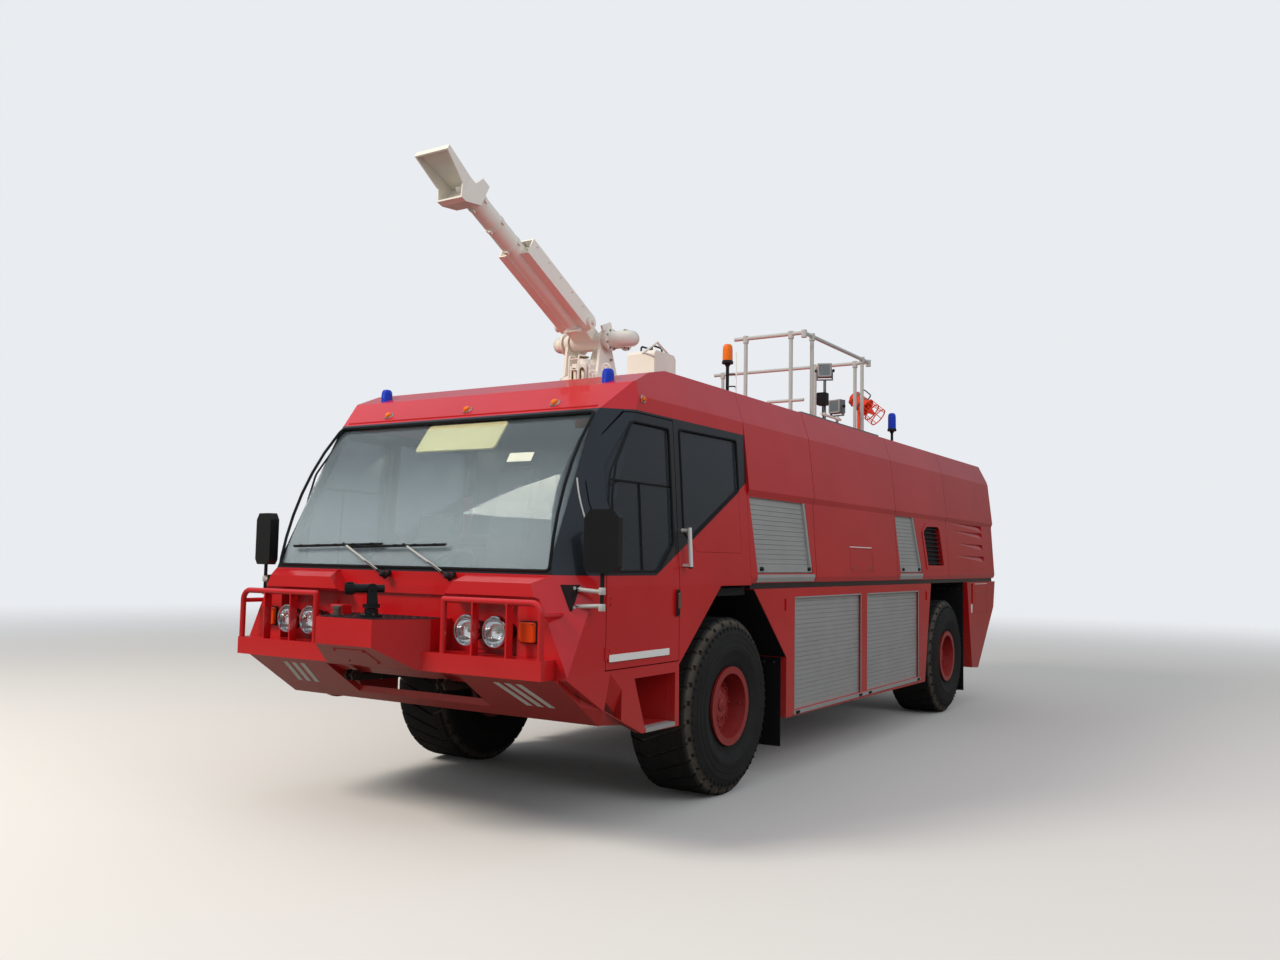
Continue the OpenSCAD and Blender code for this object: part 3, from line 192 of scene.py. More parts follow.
sky = Finish(bpy.data.worlds.new("soft_surround"), "OutputWorld")
rise = sky.span(sky.add("SeparateXYZ", {0: sky.add("TexCoord", out="Generated")}, "Z"), 0.02, 0.6)
lighting = sky.add("Background", {"Color": "f2f4f8", "Strength": SURROUND})
backdrop = sky.add("Background", {"Color": "e9ecf0", "Strength": 1.0})
mirrored = sky.add("Background", {"Color": sky.mix(rise, "6b675f", "b4c3d4"), "Strength": 0.8})
seen = sky.math("MAXIMUM", sky.ray("Camera"), sky.ray("Transmission"))
bpy.context.scene.world = sky.close(sky.blend(seen, sky.blend(sky.ray("Glossy"), lighting, mirrored), backdrop))


def broad_lamp(name, place, aim, size, watts, hex_colour):
    """A square area lamp that looks at a point and doesn't show in mirrors."""
    data = bpy.data.lights.new(name, "AREA")
    data.shape, data.size, data.energy, data.color = "SQUARE", size, watts, linear(hex_colour)[:3]
    lamp = show(name, data)
    way = Vector(aim) - Vector(place)
    lamp.matrix_world = Matrix.Translation(place) @ way.to_track_quat("-Z", "Y").to_matrix().to_4x4()
    lamp.visible_glossy = False


broad_lamp("key_lamp", (-7.0, -13.0, 12.0), (0, -1, 1.5), 5.0, 2300.0, "fff6ea")
broad_lamp("fill_lamp", (13.0, -4.0, 8.0), (0, 0, 1.5), 8.0, 520.0, "eef4ff")
bpy.context.scene.view_settings.view_transform = "Standard"

# %% [markdown]
# ## Body paint
# The body is folded aluminium sheet under a two-pack polyurethane top coat, sprayed and baked, in signal red. The eye
# reads it by three things: a saturated colour that has gone a little chalky in patches, a clear gloss coat that shows
# the surroundings almost as a mirror, and a faint waviness of the sheet that makes those reflections swim. A coat
# layer over a rougher red base gives the first two, and a very low bump of half-metre waves gives the third.

# %% Body paint
DUST, DUST_TOP, DUST_FOOT = "8a6f5c", 1.15, 0.45
BELT_CLIMB, BELT_RISE, BELT_FLOOR = 0.51, 3.630, 1.682


def gloss_paint(name, fresh, faded, gloss, wave_mm=450.0, wave=0.0015, dust_amount=0.0, upper=None):
    """Sprayed enamel: a coat over a coloured base, with slow fading, sheet waves and dust that settles low down.

    A second colour, `upper`, is masked off along the belt line, which climbs behind the cab's front seats."""
    paint = material(name)
    colour = paint.mix(paint.span(paint.noise(900, 4.0), 0.38, 0.66), fresh, faded)
    if upper:
        belt = paint.math("MAXIMUM", paint.math("MULTIPLY_ADD", paint.place("Y"), BELT_CLIMB, BELT_RISE), BELT_FLOOR)
        colour = paint.mix(paint.math("GREATER_THAN", paint.place("Z"), belt), colour, upper)
    settled = paint.math("MULTIPLY", paint.span(paint.place("Z"), DUST_TOP, DUST_FOOT), paint.noise(60, 6.0, 0.7))
    settled = paint.math("MULTIPLY", settled, dust_amount)
    sheet = paint.bump(paint.noise(wave_mm, 1.0), 0.35, wave * 10)
    return paint.principled(paint.mix(settled, colour, DUST), paint.span(settled, 0.0, 0.5, gloss, 0.6), normal=sheet,
        coat_weight=0.7, coat_roughness=0.04, coat_normal=sheet, ior=1.5)


RED, FADED_RED = "b80d13", "c0151a"
red_enamel = gloss_paint("signal_red_polyurethane_enamel", RED, FADED_RED, 0.34, dust_amount=0.4)
two_tone_enamel = gloss_paint("red_enamel_with_black_window_zone", RED, FADED_RED, 0.34, dust_amount=0.4,
    upper="15181d")
rim_enamel = gloss_paint("rim_red_enamel", "8e0a10", "990e15", 0.5, wave_mm=120, dust_amount=0.25)
turret_enamel = gloss_paint("cream_white_enamel", "e9e4d9", "ded7ca", 0.3, wave_mm=200, wave=0.0008)
black_enamel = gloss_paint("gloss_black_enamel", "0b0b0d", "111114", 0.2)
chassis_enamel = gloss_paint("satin_black_chassis_enamel", "161617", "1f1e1d", 0.55, dust_amount=0.6)
print("paints:", red_enamel.name, turret_enamel.name)

# %% [markdown]
# ## Glass
# The windscreen is laminated safety glass with a faint green tint, and the side panes are a darker privacy glass. A
# refracting shader on the two faces of each pane bends and tints light as the real sheet does. Light Path lets shadow
# rays through the pane with its tint, so that the cab behind it is lit without waiting for caustics.

# %% Glass


# Heights and least strength of the pale layer that paints a reflection onto the glass.
SCREEN_BACK_Y, REFLECTION_TOP, REFLECTION_FOOT, REFLECTION_LEAST = -3.70, 2.62, 1.80, 0.045


def sheet_glass(name, tint, passing, side_tint=None, painted_reflection=0.0):
    """Clear or tinted pane; shadow rays pass with the tint given in `passing`.

    With `side_tint`, the panes behind the windscreen are darker. The last argument sets a pale matt layer that is
    strongest low on the windscreen: a painted reflection of the surroundings, which every pane also carries faintly."""
    glass = material(name)
    behind = glass.math("GREATER_THAN", glass.place("Y"), SCREEN_BACK_Y)
    pane = glass.add("BsdfPrincipled", {"Base Color": glass.mix(behind, tint, side_tint or tint),
        "Transmission Weight": 1.0, "IOR": 1.5, "Roughness": glass.span(glass.noise(260, 5.0), 0.45, 0.75, 0.0, 0.06)})
    # The pale matt layer, strongest low on the windscreen and faint on every pane, is a painted reflection of the
    # surroundings.
    lower = glass.span(glass.place("Z"), REFLECTION_TOP, REFLECTION_FOOT, painted_reflection * 0.15, painted_reflection, interpolation_type="SMOOTHSTEP")
    amount = glass.math("MULTIPLY", lower, glass.math("SUBTRACT", 1.0, behind))
    pale_reflection_layer = glass.add("BsdfDiffuse", {"Color": "b9c6d0"})
    pane_with_painted_reflection = glass.blend(glass.math("MAXIMUM", amount, REFLECTION_LEAST), pane, pale_reflection_layer)
    clear = glass.add("BsdfTransparent", {"Color": glass.mix(behind, passing, side_tint or passing)})
    return glass.close(glass.blend(glass.ray("Shadow"), pane_with_painted_reflection, clear))


windscreen_glass = sheet_glass("laminated_windscreen_glass", "dfe9e4", "cfd9d4", side_tint="4a5158", painted_reflection=0.30)
privacy_glass = sheet_glass("dark_privacy_glass", "454b52", "5a6066")
print("glass:", windscreen_glass.name, privacy_glass.name)

# %% [markdown]
# ## Rubber, plastics, metals and cloth
# Tyre rubber is carbon black with a grey bloom and road dust, so it is never really black. Moulded plastics get a
# fine grain. Anodised aluminium and stainless steel are bare metal whose polishing lines pull the highlights out.

# %% Rubber and plastics


def grained(name, dark, light, grain_mm, rough, depth=0.2, sheen=0.0, metallic=0.0):
    """A matt or satin surface: two tones in soft patches, under a fine grain of a real size."""
    made = material(name)
    patches = made.noise(300, 5.0, 0.6)
    return made.principled(made.mix(patches, dark, light), made.span(patches, 0, 1, rough * 0.85,
        min(1, rough * 1.15)), metallic=metallic, sheen_weight=sheen, normal=made.bump(made.noise(grain_mm, 4.0),
        depth, grain_mm / 1000))


AXLE_MIDDLE_Y, WHEELBASE, TYRE_RADIUS, TRACK_X, SIPE_PITCH = 0.226, 5.72, 0.675, 1.18, 0.084


def tread_rubber(name):
    """Tyre rubber: thin sipes run round the tread, pressed in and painted near black as painted shade in the cuts;
    dust lies between the lugs.
    """
    made = material(name)
    ahead = made.math("ABSOLUTE", made.math("ADD", made.place("Y"), -AXLE_MIDDLE_Y))
    spoke = made.add("CombineXYZ", {0: made.math("SUBTRACT", ahead, WHEELBASE / 2),
        1: made.math("SUBTRACT", made.place("Z"), TYRE_RADIUS)})
    radius = made.add("VectorMath", {0: spoke}, "Value", operation="LENGTH")
    lanes = made.math("SUBTRACT", made.math("ABSOLUTE", made.place("X")), TRACK_X)
    sipe = made.span(made.math("PINGPONG", lanes, SIPE_PITCH), 0.0, 0.005)
    sipe_cut_and_shade = made.math("MULTIPLY", made.math("SUBTRACT", 1.0, sipe), made.span(radius, 0.655, 0.668))
    patches = made.noise(140, 6.0, 0.65)
    grooves = made.math("MULTIPLY", made.span(radius, 0.664, 0.650), made.span(radius, 0.600, 0.640))
    dusty = made.mix(made.math("MULTIPLY", grooves, patches), made.mix(patches, "151514", "2b2927"), "6a5f52")
    relief = made.math("SUBTRACT", made.math("MULTIPLY", made.noise(6, 4.0), 0.15), sipe_cut_and_shade)
    # Near black 050505 in the sipes is painted shade inside the cuts; the bump presses them in as well.
    return made.principled(made.mix(sipe_cut_and_shade, dusty, "050505"), 0.8, normal=made.bump(relief, 0.6, 0.006))


tyre_rubber = tread_rubber("carbon_black_tyre_rubber")
cab_plastic = grained("moulded_grey_abs", "3a3c3e", "4a4c4e", 3, 0.6)
black_plastic = grained("moulded_black_abs", "101011", "1b1b1c", 3, 0.5)
floor_rubber = grained("charcoal_floor_rubber", "161718", "202122", 3, 0.8)
seat_cloth = grained("woven_seat_cloth", "24262b", "34373d", 4, 0.9, 0.6, sheen=0.3)
bare_aluminium = grained("natural_anodised_aluminium", "b4b4b1", "c8c8c4", 2, 0.45, 0.05, metallic=0.55)
stainless = grained("brushed_stainless_tube", "cfcdc6", "dedcd5", 2, 0.35, 0.05, metallic=0.45)
lamp_clear = grained("lamp_housing", "c8c8c6", "d8d8d6", 5, 0.2)
print("plain finishes made")

# %% [markdown]
# Some solids carry two finishes: the upright grab rails are pale tubes with black end fittings, and the roof fittings
# end in an orange-red foam generator. Such a part gets one material that changes over at a plane, just as the painter
# masks it off at a line.

# %% Masked finishes


def masked(name, axis, level, below, above, rough=0.4, metallic=0.0):
    """Two tones that change over where the object's X, Y or Z passes `level` metres."""
    made = material(name)
    mask, worn = made.math("GREATER_THAN", made.place(axis), level), made.noise(80, 5.0)
    return made.principled(made.mix(mask, made.mix(worn, *below), made.mix(worn, *above)), rough,
        metallic=made.span(mask, 0.0, 1.0, metallic, 0.0), normal=made.bump(made.noise(5, 3.0), 0.1, 0.005))


roof_fittings = masked("grey_fittings_and_orange_generator", "Y", 1.500, ("7f8182", "929495"), ("d8391c", "e24a2a"),
    0.42, 0.6)
rail_tube = masked("pale_rail_with_dark_feet", "Z", 1.742, ("121213", "1c1c1d"), ("cfcdc6", "dedcd5"))
print("masked finishes:", roof_fittings.name, rail_tube.name)

# %% [markdown]
# ## Finishes for the carried-over solids
# Each solid of the frame names a slot in its record. One table says which finish stands for each slot.

# %% Dress the solids
SLOT_FINISH = {"body_paint": red_enamel, "window_frame": black_enamel, "tinted_glass": privacy_glass,
    "chassis_paint": chassis_enamel, "tyre_rubber": tyre_rubber, "rim_paint": rim_enamel, "cab_trim": cab_plastic,
    "seat_cloth": seat_cloth, "lamp_glass": lamp_clear, "black_trim": black_plastic, "bare_aluminium": bare_aluminium,
    "stainless_tube": stainless, "turret_paint": turret_enamel}
NODE_FINISH = {"cab_glass": windscreen_glass, "roof_equipment": roof_fittings, "grab_rails": rail_tube,
    "door_left": two_tone_enamel, "door_right": two_tone_enamel, "cab_frame": two_tone_enamel,
    "cab_floor": floor_rubber}
for name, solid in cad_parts.items():
    finish = NODE_FINISH.get(name) or SLOT_FINISH[solid.material_slots[0].material.name]
    solid.data.materials.clear()
    solid.data.materials.append(finish)
print("dressed", len(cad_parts), "solids")

# %% [markdown]
# ## Helpers for the small forms
# Measures on the drawings of a vehicle run from the front axle, so `at()` takes a point in metres from that axle, on
# the ground and in the middle of the track. Profiles and outlines are short lists in millimetres, as on a drawing.
# Four builders make nearly everything that a workshop makes: a lathe turns a profile, a bender sweeps a tube along a
# path, a press cuts a plate with round corners, and a bolt has a chamfered hexagon on a washer.

# %% Mesh helpers
FRONT_AXLE_Y = -2.634
SLOT_OF = {made.name: slot_name for slot_name, made in SLOT_FINISH.items()}
SIDES = (("left", 1), ("right", -1))
CORNERS = ((-1, -1), (1, -1), (1, 1), (-1, 1))


def at(x, y, z):
    """A point measured from the front axle, in metres."""
    return Vector((x, y + FRONT_AXLE_Y, z))


def mm(points):
    """Points written in millimetres, such as '0,25 30,40', as tuples in metres."""
    return [tuple(float(v) / 1000 for v in point.split(",")) for point in points.split()]


def shift(x, y, z):
    return Matrix.Translation((x, y, z))


def stand(x, y, z):
    """Matrix of an upright part at a point measured from the front axle."""
    return Matrix.Translation(at(x, y, z))


def spin(degrees, axis):
    return Matrix.Rotation(radians(degrees), 4, axis)


def facing(place, ahead, up=(0, 0, 1)):
    """Matrix at `place` whose local Z looks along `ahead` and whose local Y leans towards `up`."""
    z = Vector(ahead).normalized()
    x = Vector(up).cross(z)
    x = x.normalized() if x.length > 1e-06 else Vector((1, 0, 0))
    return Matrix.Translation(place) @ Matrix((x, z.cross(x), z)).transposed().to_4x4()


def on(x, y, z, ahead, up=(0, 0, 1)):
    """The same at a point measured from the front axle."""
    return facing(at(x, y, z), ahead, up)


def circle(count, radius, turned=0.0):
    """Evenly spaced (x, y) points on a circle; `turned` is a part of a step."""
    return [(radius * cos(a), radius * sin(a)) for a in (2 * pi * (k + turned) / count for k in range(count))]


def fresh(count):
    """New empty meshes to build in."""
    return [bmesh.new() for _ in range(count)]


def join_rings(build, rings, loop=False):
    """Faces between rings of points: a closed ring of rings, or a run with an end face on both ends."""
    rings = [[build.verts.new(point) for point in ring] for ring in rings]
    for low, high in list(zip(rings, rings[1:])) + ([(rings[-1], rings[0])] if loop else []):
        for k in range(len(low)):
            build.faces.new((low[k], low[(k + 1) % len(low)], high[(k + 1) % len(low)], high[k]))
    if not loop:
        build.faces.new(rings[0][::-1])
        build.faces.new(rings[-1])


def revolve(build, profile, place, steps=32, loop=False):
    """Turn (radius, height) pairs about the local Z axis of `place`; a loop is a ring with a hole."""
    rings = []
    for radius, height in mm(profile) if isinstance(profile, str) else profile:
        turns = steps if radius > 1e-06 else 1
        rings.append([build.verts.new(place @ Vector((radius * cos(2 * pi * k / steps),
            radius * sin(2 * pi * k / steps), height))) for k in range(turns)])
    for low, high in list(zip(rings, rings[1:])) + ([(rings[-1], rings[0])] if loop else []):
        for k in range(steps):
            corners = []
            for vert in (low[k % len(low)], low[(k + 1) % len(low)], high[(k + 1) % len(high)], high[k % len(high)]):
                if vert not in corners:
                    corners.append(vert)
            if len(corners) > 2:
                build.faces.new(corners)


def sweep(build, path, radius, sides=10, loop=False):
    """A round tube along a path of points."""
    points = [Vector(p) for p in path]
    rings, across = [], None
    for i, point in enumerate(points):
        before = points[i - 1] if i or loop else point
        after = points[(i + 1) % len(points)] if i + 1 < len(points) or loop else point
        ahead = (after - before).normalized()
        across = ahead.orthogonal() if across is None else across - ahead * across.dot(ahead)
        across.normalize()
        up = ahead.cross(across)
        rings.append([point + (across * cos(2 * pi * k / sides) + up * sin(2 * pi * k / sides)) * radius
            for k in range(sides)])
    join_rings(build, rings, loop)


def curve(start, corner, end, steps):
    """A round corner between two points."""
    return [start * (1 - t) ** 2 + corner * 2 * t * (1 - t) + end * t ** 2
        for t in (k / steps for k in range(steps + 1))]


def bent(corners, radius, steps=5):
    """A path through corner points with each inner corner rounded."""
    points = [Vector(c) for c in corners]
    path = [points[0]]
    for before, corner, after in zip(points, points[1:], points[2:]):
        back, onward = (before - corner).normalized(), (after - corner).normalized()
        path += curve(corner + back * radius, corner, corner + onward * radius, steps)
    return path + [points[-1]]


def prism(build, outline, place, thick, rim=0.0):
    """An outline in the local XY plane, `thick` high along local Z, with its upper rim eased by `rim`."""
    outline = mm(outline) if isinstance(outline, str) else outline
    middle = Vector((sum((p[0] for p in outline)) / len(outline), sum((p[1] for p in outline)) / len(outline)))
    rings = []
    for inset, height in [(0.0, 0.0), (0.0, thick - rim), (rim, thick)] if rim else [(0.0, 0.0), (0.0, thick)]:
        ring = []
        for x, y in outline:
            out = Vector((x, y)) - middle
            shorter = max(0.0, 1 - inset / max(out.length, 1e-06))
            ring.append(place @ Vector((middle.x + out.x * shorter, middle.y + out.y * shorter, height)))
        rings.append(ring)
    join_rings(build, rings)


def rounded(width, height, corner, steps=5):
    """Outline of a rectangle about the origin with round corners."""
    outline = []
    for quarter, (sx, sy) in enumerate(((1, 1), (-1, 1), (-1, -1), (1, -1))):
        for a in ((quarter + k / steps) * pi / 2 for k in range(steps + 1)):
            outline.append((sx * (width / 2 - corner) + corner * cos(a), sy * (height / 2 - corner) + corner * sin(a)))
    return outline


def plate(build, place, width, height, thick, corner, rim=0.0):
    """A flat plate with round corners, its middle at `place`."""
    prism(build, rounded(width, height, corner), place, thick, rim)


def bolt(build, place, across_flats):
    """A hexagon bolt head on its washer, seated 1 mm deep."""
    r, high = across_flats / 2 / cos(pi / 6), across_flats * 0.62
    revolve(build, [(0, -0.001), (r * 1.3, -0.001), (r * 1.3, 0.0025), (0, 0.0025)], place, 16)
    revolve(build, [(0, 0.002), (r, 0.002), (r, high * 0.85), (r * 0.84, high), (0, high)], place, 6)


def piece(name, build, finish, body="root", smooth=True, eased=0.0, stands_for=None):
    """Close a bmesh into an object with a finish, and hang it on a body of the frame."""
    bmesh.ops.recalc_face_normals(build, faces=build.faces[:])
    mesh = bpy.data.meshes.new(name)
    build.to_mesh(mesh)
    build.free()
    mesh.materials.append(finish)
    made = show(name, mesh)
    if smooth:
        for face in mesh.polygons:
            face.use_smooth = True
        mesh.set_sharp_from_angle(angle=radians(32))
    if eased:
        soften = made.modifiers.new("eased_edges", "BEVEL")
        soften.width, soften.segments, soften.limit_method = eased, 2, "ANGLE"
    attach(made, body)
    if stands_for:
        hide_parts(stands_for)
    return made


print("helpers ready; the front axle stands at y =", FRONT_AXLE_Y)

# %% [markdown]
# ## Lenses and bright metal
# Signal lenses are moulded polycarbonate: the colour is in the plastic, and prisms on its back scatter the light, so a
# lens looks lit even when it is off. A little transmission over a saturated base gives that depth. Chrome is the one
# finish here that is a real mirror. Zinc-plated fasteners are duller and a touch yellow.

# %% Lens and bright finishes


def lens_plastic(name, tint, ribs_mm, along="X", clear=0.55, depth=0.5, dull_to=0.2):
    """Coloured or clear moulded lens with prism ribs at a real pitch."""
    lens = material(name)
    ribs = lens.add("TexWave", {"Vector": lens.place(), "Scale": 1000 / ribs_mm / 6.2832 * pi, "Distortion": 0.0},
        "Fac", bands_direction=along)
    return lens.principled(tint, lens.span(lens.noise(30, 3.0), 0.0, 1.0, 0.02, dull_to), transmission_weight=clear,
        ior=1.58, normal=lens.bump(ribs, depth, 0.001))


def stock(slot_name, *finishes):
    """Name the slot that these finishes belong to."""
    SLOT_OF.update((finish.name, slot_name) for finish in finishes)


amber_lens = lens_plastic("amber_polycarbonate_lens", "ff7d08", 6, "X", 0.25)
orange_lens = lens_plastic("orange_indicator_lens", "ef4a0a", 6, "X", 0.1)
blue_lens = lens_plastic("blue_polycarbonate_dome", "0b3fd6", 7, "Z", 0.35)
red_lens = lens_plastic("red_polycarbonate_lens", "c01015", 6, "X", 0.35)
clear_lens = lens_plastic("fluted_headlamp_glass", "f8fafa", 7, "X", 1.0, depth=0.12, dull_to=0.05)
chrome = grained("bright_chrome_plate", "d6d8da", "e4e6e8", 5, 0.07, 0.02, metallic=1.0)
zinc = grained("zinc_plated_steel", "a19d92", "b8b4a8", 4, 0.36, 0.1, metallic=1.0)
dark_steel = grained("dark_checker_plate_steel", "2b2a2b", "403e3e", 6, 0.5, 0.2, metallic=0.6)
seal_rubber = grained("black_window_seal_rubber", "0e0e0f", "1a1a1b", 5, 0.7)
mirror_glass = grained("silvered_mirror_glass", "dfe3e6", "e9ecee", 40, 0.03, 0.0, metallic=1.0)
pale_reflector = grained("pale_reflective_tape", "d9d8d2", "e8e7e2", 3, 0.35, 0.3)
reflector_silver = grained("aluminised_lamp_reflector", "d9dcdf", "e6e8ea", 20, 0.08, 0.02, metallic=1.0)
beige_vinyl = grained("beige_sun_visor_vinyl", "b9a77c", "c9b88e", 4, 0.6, 0.3)
tan_brass = grained("tarnished_brass_pipe", "8d7343", "a58a55", 5, 0.4, 0.1, metallic=1.0)
hose_rubber = grained("black_hydraulic_hose", "151516", "212122", 3, 0.6, 0.3)
foam_orange = grained("orange_red_sprayed_steel", "d8391c", "e24a2a", 6, 0.42, 0.1)
stock("lamp_glass", amber_lens, orange_lens, blue_lens, red_lens, clear_lens)
stock("stainless_tube", chrome, zinc, tan_brass)
stock("black_trim", dark_steel, seal_rubber, hose_rubber)
stock("bare_aluminium", mirror_glass, reflector_silver)
stock("turret_paint", pale_reflector)
stock("seat_cloth", beige_vinyl)
stock("body_paint", foam_orange)

# %% [markdown]
# ## Headlamps and indicators
# Each round headlamp is a sealed unit: a spun bucket, an aluminised bowl, a small shield before the bulb and a domed
# glass with flutes, held by a chrome ring that three screws pull in. Lathe profiles give every one of them its true
# section, so the bowl really lies behind the glass and catches light as the eye moves.

# %% Headlamps
LAMP_X, LAMP_Z, LAMP_Y = (0.731, 0.965), 1.322, -2.262
buckets, bowls, glasses, rings, shields = fresh(5)
for side_name, side in SIDES:
    for x in LAMP_X:
        lamp_place = on(side * x, LAMP_Y, LAMP_Z, (0, -1, 0))
        revolve(buckets, "0,-160 55,-160 62,-115 94,-36 90,-34 58,-112 50,-150 0,-150", lamp_place, 40)
        revolve(bowls, "87,-18 82,-36 66,-62 42,-80 18,-88 0,-89 0,-92 20,-91 44,-83 69,-64 85,-37 89,-18", lamp_place,
            40, loop=True)
        revolve(glasses, "0,3 30,2 58,-2 78,-7 87,-11 87,-15 77,-11 57,-6 30,-2 0,-1", lamp_place, 40)
        revolve(rings, "84,-6 88,1 94,3 99,-2 101,-12 100,-30 94,-38 87,-34 88,-14", lamp_place, 48, loop=True)
        revolve(shields, "0,-30 10,-31 15,-36 15,-52 9,-60 7,-88 0,-88", lamp_place, 20)
        for dx, dy in circle(3, 0.0945, 0.75):
            revolve(shields, "0,3 3,2.8 4.2,1 4.2,-2 0,-2", lamp_place @ shift(dx, dy, 0.0015), 12)
piece("headlamp_buckets", buckets, black_plastic, stands_for="front_lamps")
piece("headlamp_bowls", bowls, reflector_silver, stands_for="front_lamps")
piece("headlamp_rings", rings, chrome, stands_for="front_lamps")
piece("headlamp_bulb_shields", shields, zinc, stands_for="front_lamps")
piece("headlamp_glasses", glasses, clear_lens, stands_for="front_lamps")
housings, lenses = fresh(2)
for side_name, side in SIDES:
    spot = on(side * 1.1975, -2.2, 1.331, (0, -1, 0))
    plate(housings, spot, 0.135, 0.138, 0.016, 0.012, 0.003)
    plate(lenses, spot @ shift(0, 0, 0.014), 0.121, 0.124, 0.024, 0.014, 0.007)
    for dx in (-0.05, 0.05):
        revolve(housings, "0,0 5,0 5,2 3,3 0,3", spot @ shift(dx, dx, 0.0365), 12)
piece("indicator_housings", housings, black_plastic, stands_for="front_lamps")
piece("indicator_lenses", lenses, orange_lens, stands_for="front_lamps")
print("headlamps span", round(2 * LAMP_X[1] + 0.2, 2), "m")

# %% [markdown]
# ## Beacons, marker lamps and tail lamps
# A rotating beacon is a coloured dome over a lamp that spins inside a polished reflector. The dome here is a thin
# shell with a dark bayonet base, and the reflector and bulb stand inside it. The marker lamps are small amber domes in
# a bright ring. The tail lamps are four round lenses on a black plate, each with the stepped rings of a moulding.

# %% Beacons and small lamps
ROOF_EDGE_X, ROOF_EDGE_Z, ROOF_CROWN = 1.32, 3.16, 0.02


def roof_height(x):
    """Height of the crowned roof over the ground at distance x from the middle."""
    return ROOF_EDGE_Z + ROOF_CROWN * (1 - abs(x) / ROOF_EDGE_X)


def beacon(name, x, y, foot, top, lens):
    """Dome, base and inside of one beacon; a bayonet base holds it."""
    dome, base, inside = fresh(3)
    place = stand(x, y, foot)
    r, high = 0.045, top - foot
    outer = [(r, 0.03), (r, 0.036), (r - 0.001, high - 0.05), (r - 0.004, high - 0.022), (r - 0.014, high - 0.006),
        (r - 0.03, high - 0.001), (0, high)]
    inner = [(max(0.0, a - 0.003), b - 0.003) for a, b in outer[:0:-1]]
    revolve(dome, outer + inner + [(r - 0.003, 0.03)], place, 40)
    revolve(base, "0,0 48,0 51,4 51,20 46,30 0,30", place, 40)
    bulb = [(0.01, high * 0.75), (0.007, high * 0.8), (0, high * 0.8)]
    revolve(inside, mm("0,28 28,28 28,40 10,44") + bulb, place, 20)
    prism(inside, "-26,16 0,22 26,16 30,0 26,10 0,16 -26,10 -30,0", place @ shift(0, 0, 0.045), high * 0.5)
    for part, build, finish in (("dome", dome, lens), ("base", base, black_plastic),
            ("reflector", inside, reflector_silver)):
        piece(name + "_" + part, build, finish, stands_for="roof_lamps")


posts, domes, rims = fresh(3)
for name, x, y, foot, top, lens in (("amber_beacon", 0.9, 0.93, 3.54, 3.72, amber_lens),
        ("rear_blue_beacon", 1.225, 4.36, 3.3, 3.51, blue_lens)):
    beacon(name, x, y, foot, top, lens)
    seat = roof_height(x)
    foot_plate = [(0, seat - 0.004), (0.055, seat - 0.004), (0.055, seat + 0.006), (0.018, seat + 0.012)]
    tube = [(0.015, seat + 0.02), (0.015, foot - 0.025), (0.024, foot - 0.012), (0.024, foot + 0.001)]
    revolve(posts, foot_plate + tube + [(0, foot + 0.001)], stand(x, y, 0), 24)
for side_name, side in SIDES:
    beacon("cab_blue_beacon_" + side_name, side * 1.09, -1.24, 2.9775, 3.135, blue_lens)
    revolve(posts, "0,2900 56,2900 56,2962 48,2980 0,2980", stand(side * 1.09, -1.24, 0), 32)
piece("beacon_posts", posts, black_plastic, stands_for="roof_lamps")
BROW = Vector((0, -0.664, 0.747))
for x in (-0.81, 0.0, 0.81):
    spot = on(x, -1.48, 2.868, BROW)
    revolve(domes, "0,1 30,1 29,16 22,28 10,34 0,35", spot, 28)
    revolve(rims, "26,-3 40,-3 40,5 35,11 29,8", spot, 28, loop=True)
piece("marker_lamp_domes", domes, amber_lens, stands_for="roof_lamps")
piece("marker_lamp_rims", rims, chrome, stands_for="roof_lamps")

TAIL_Y = 7.875
lamp_plates = bmesh.new()
for side_name, side in SIDES:
    plate(lamp_plates, on(side * 1.29, TAIL_Y - 0.02, 1.9, (0, 1, 0)), 0.22, 0.4, 0.012, 0.02, 0.003)
piece("tail_lamp_plates", lamp_plates, black_plastic, stands_for="tail_lamps")
for tone, lens, heights in (("red", red_lens, (1.76, 2.039)), ("amber", amber_lens, (1.946,)),
        ("clear", clear_lens, (1.853,))):
    build = bmesh.new()
    for side_name, side in SIDES:
        for z in heights:
            revolve(build, "0,7.5 12,7.5 13,6 22,6.5 23,5 33,5.5 34,4 40,3 42,0 0,-1",
                on(side * 1.29, TAIL_Y - 0.008, z, (0, 1, 0)), 36)
    piece("tail_lenses_" + tone, build, lens, stands_for="tail_lamps")
print("beacons, markers and tail lamps are on")

# %% [markdown]
# ## Wheels
# A wide single tyre for soft ground has thick moulded ribs on its sidewall that guard the casing against kerbs. The
# rim is held by ten nuts on chamfered seats, and a bent valve stem comes out between the rim and its well. All of it
# turns with the wheel, so it hangs on the wheel's own body.

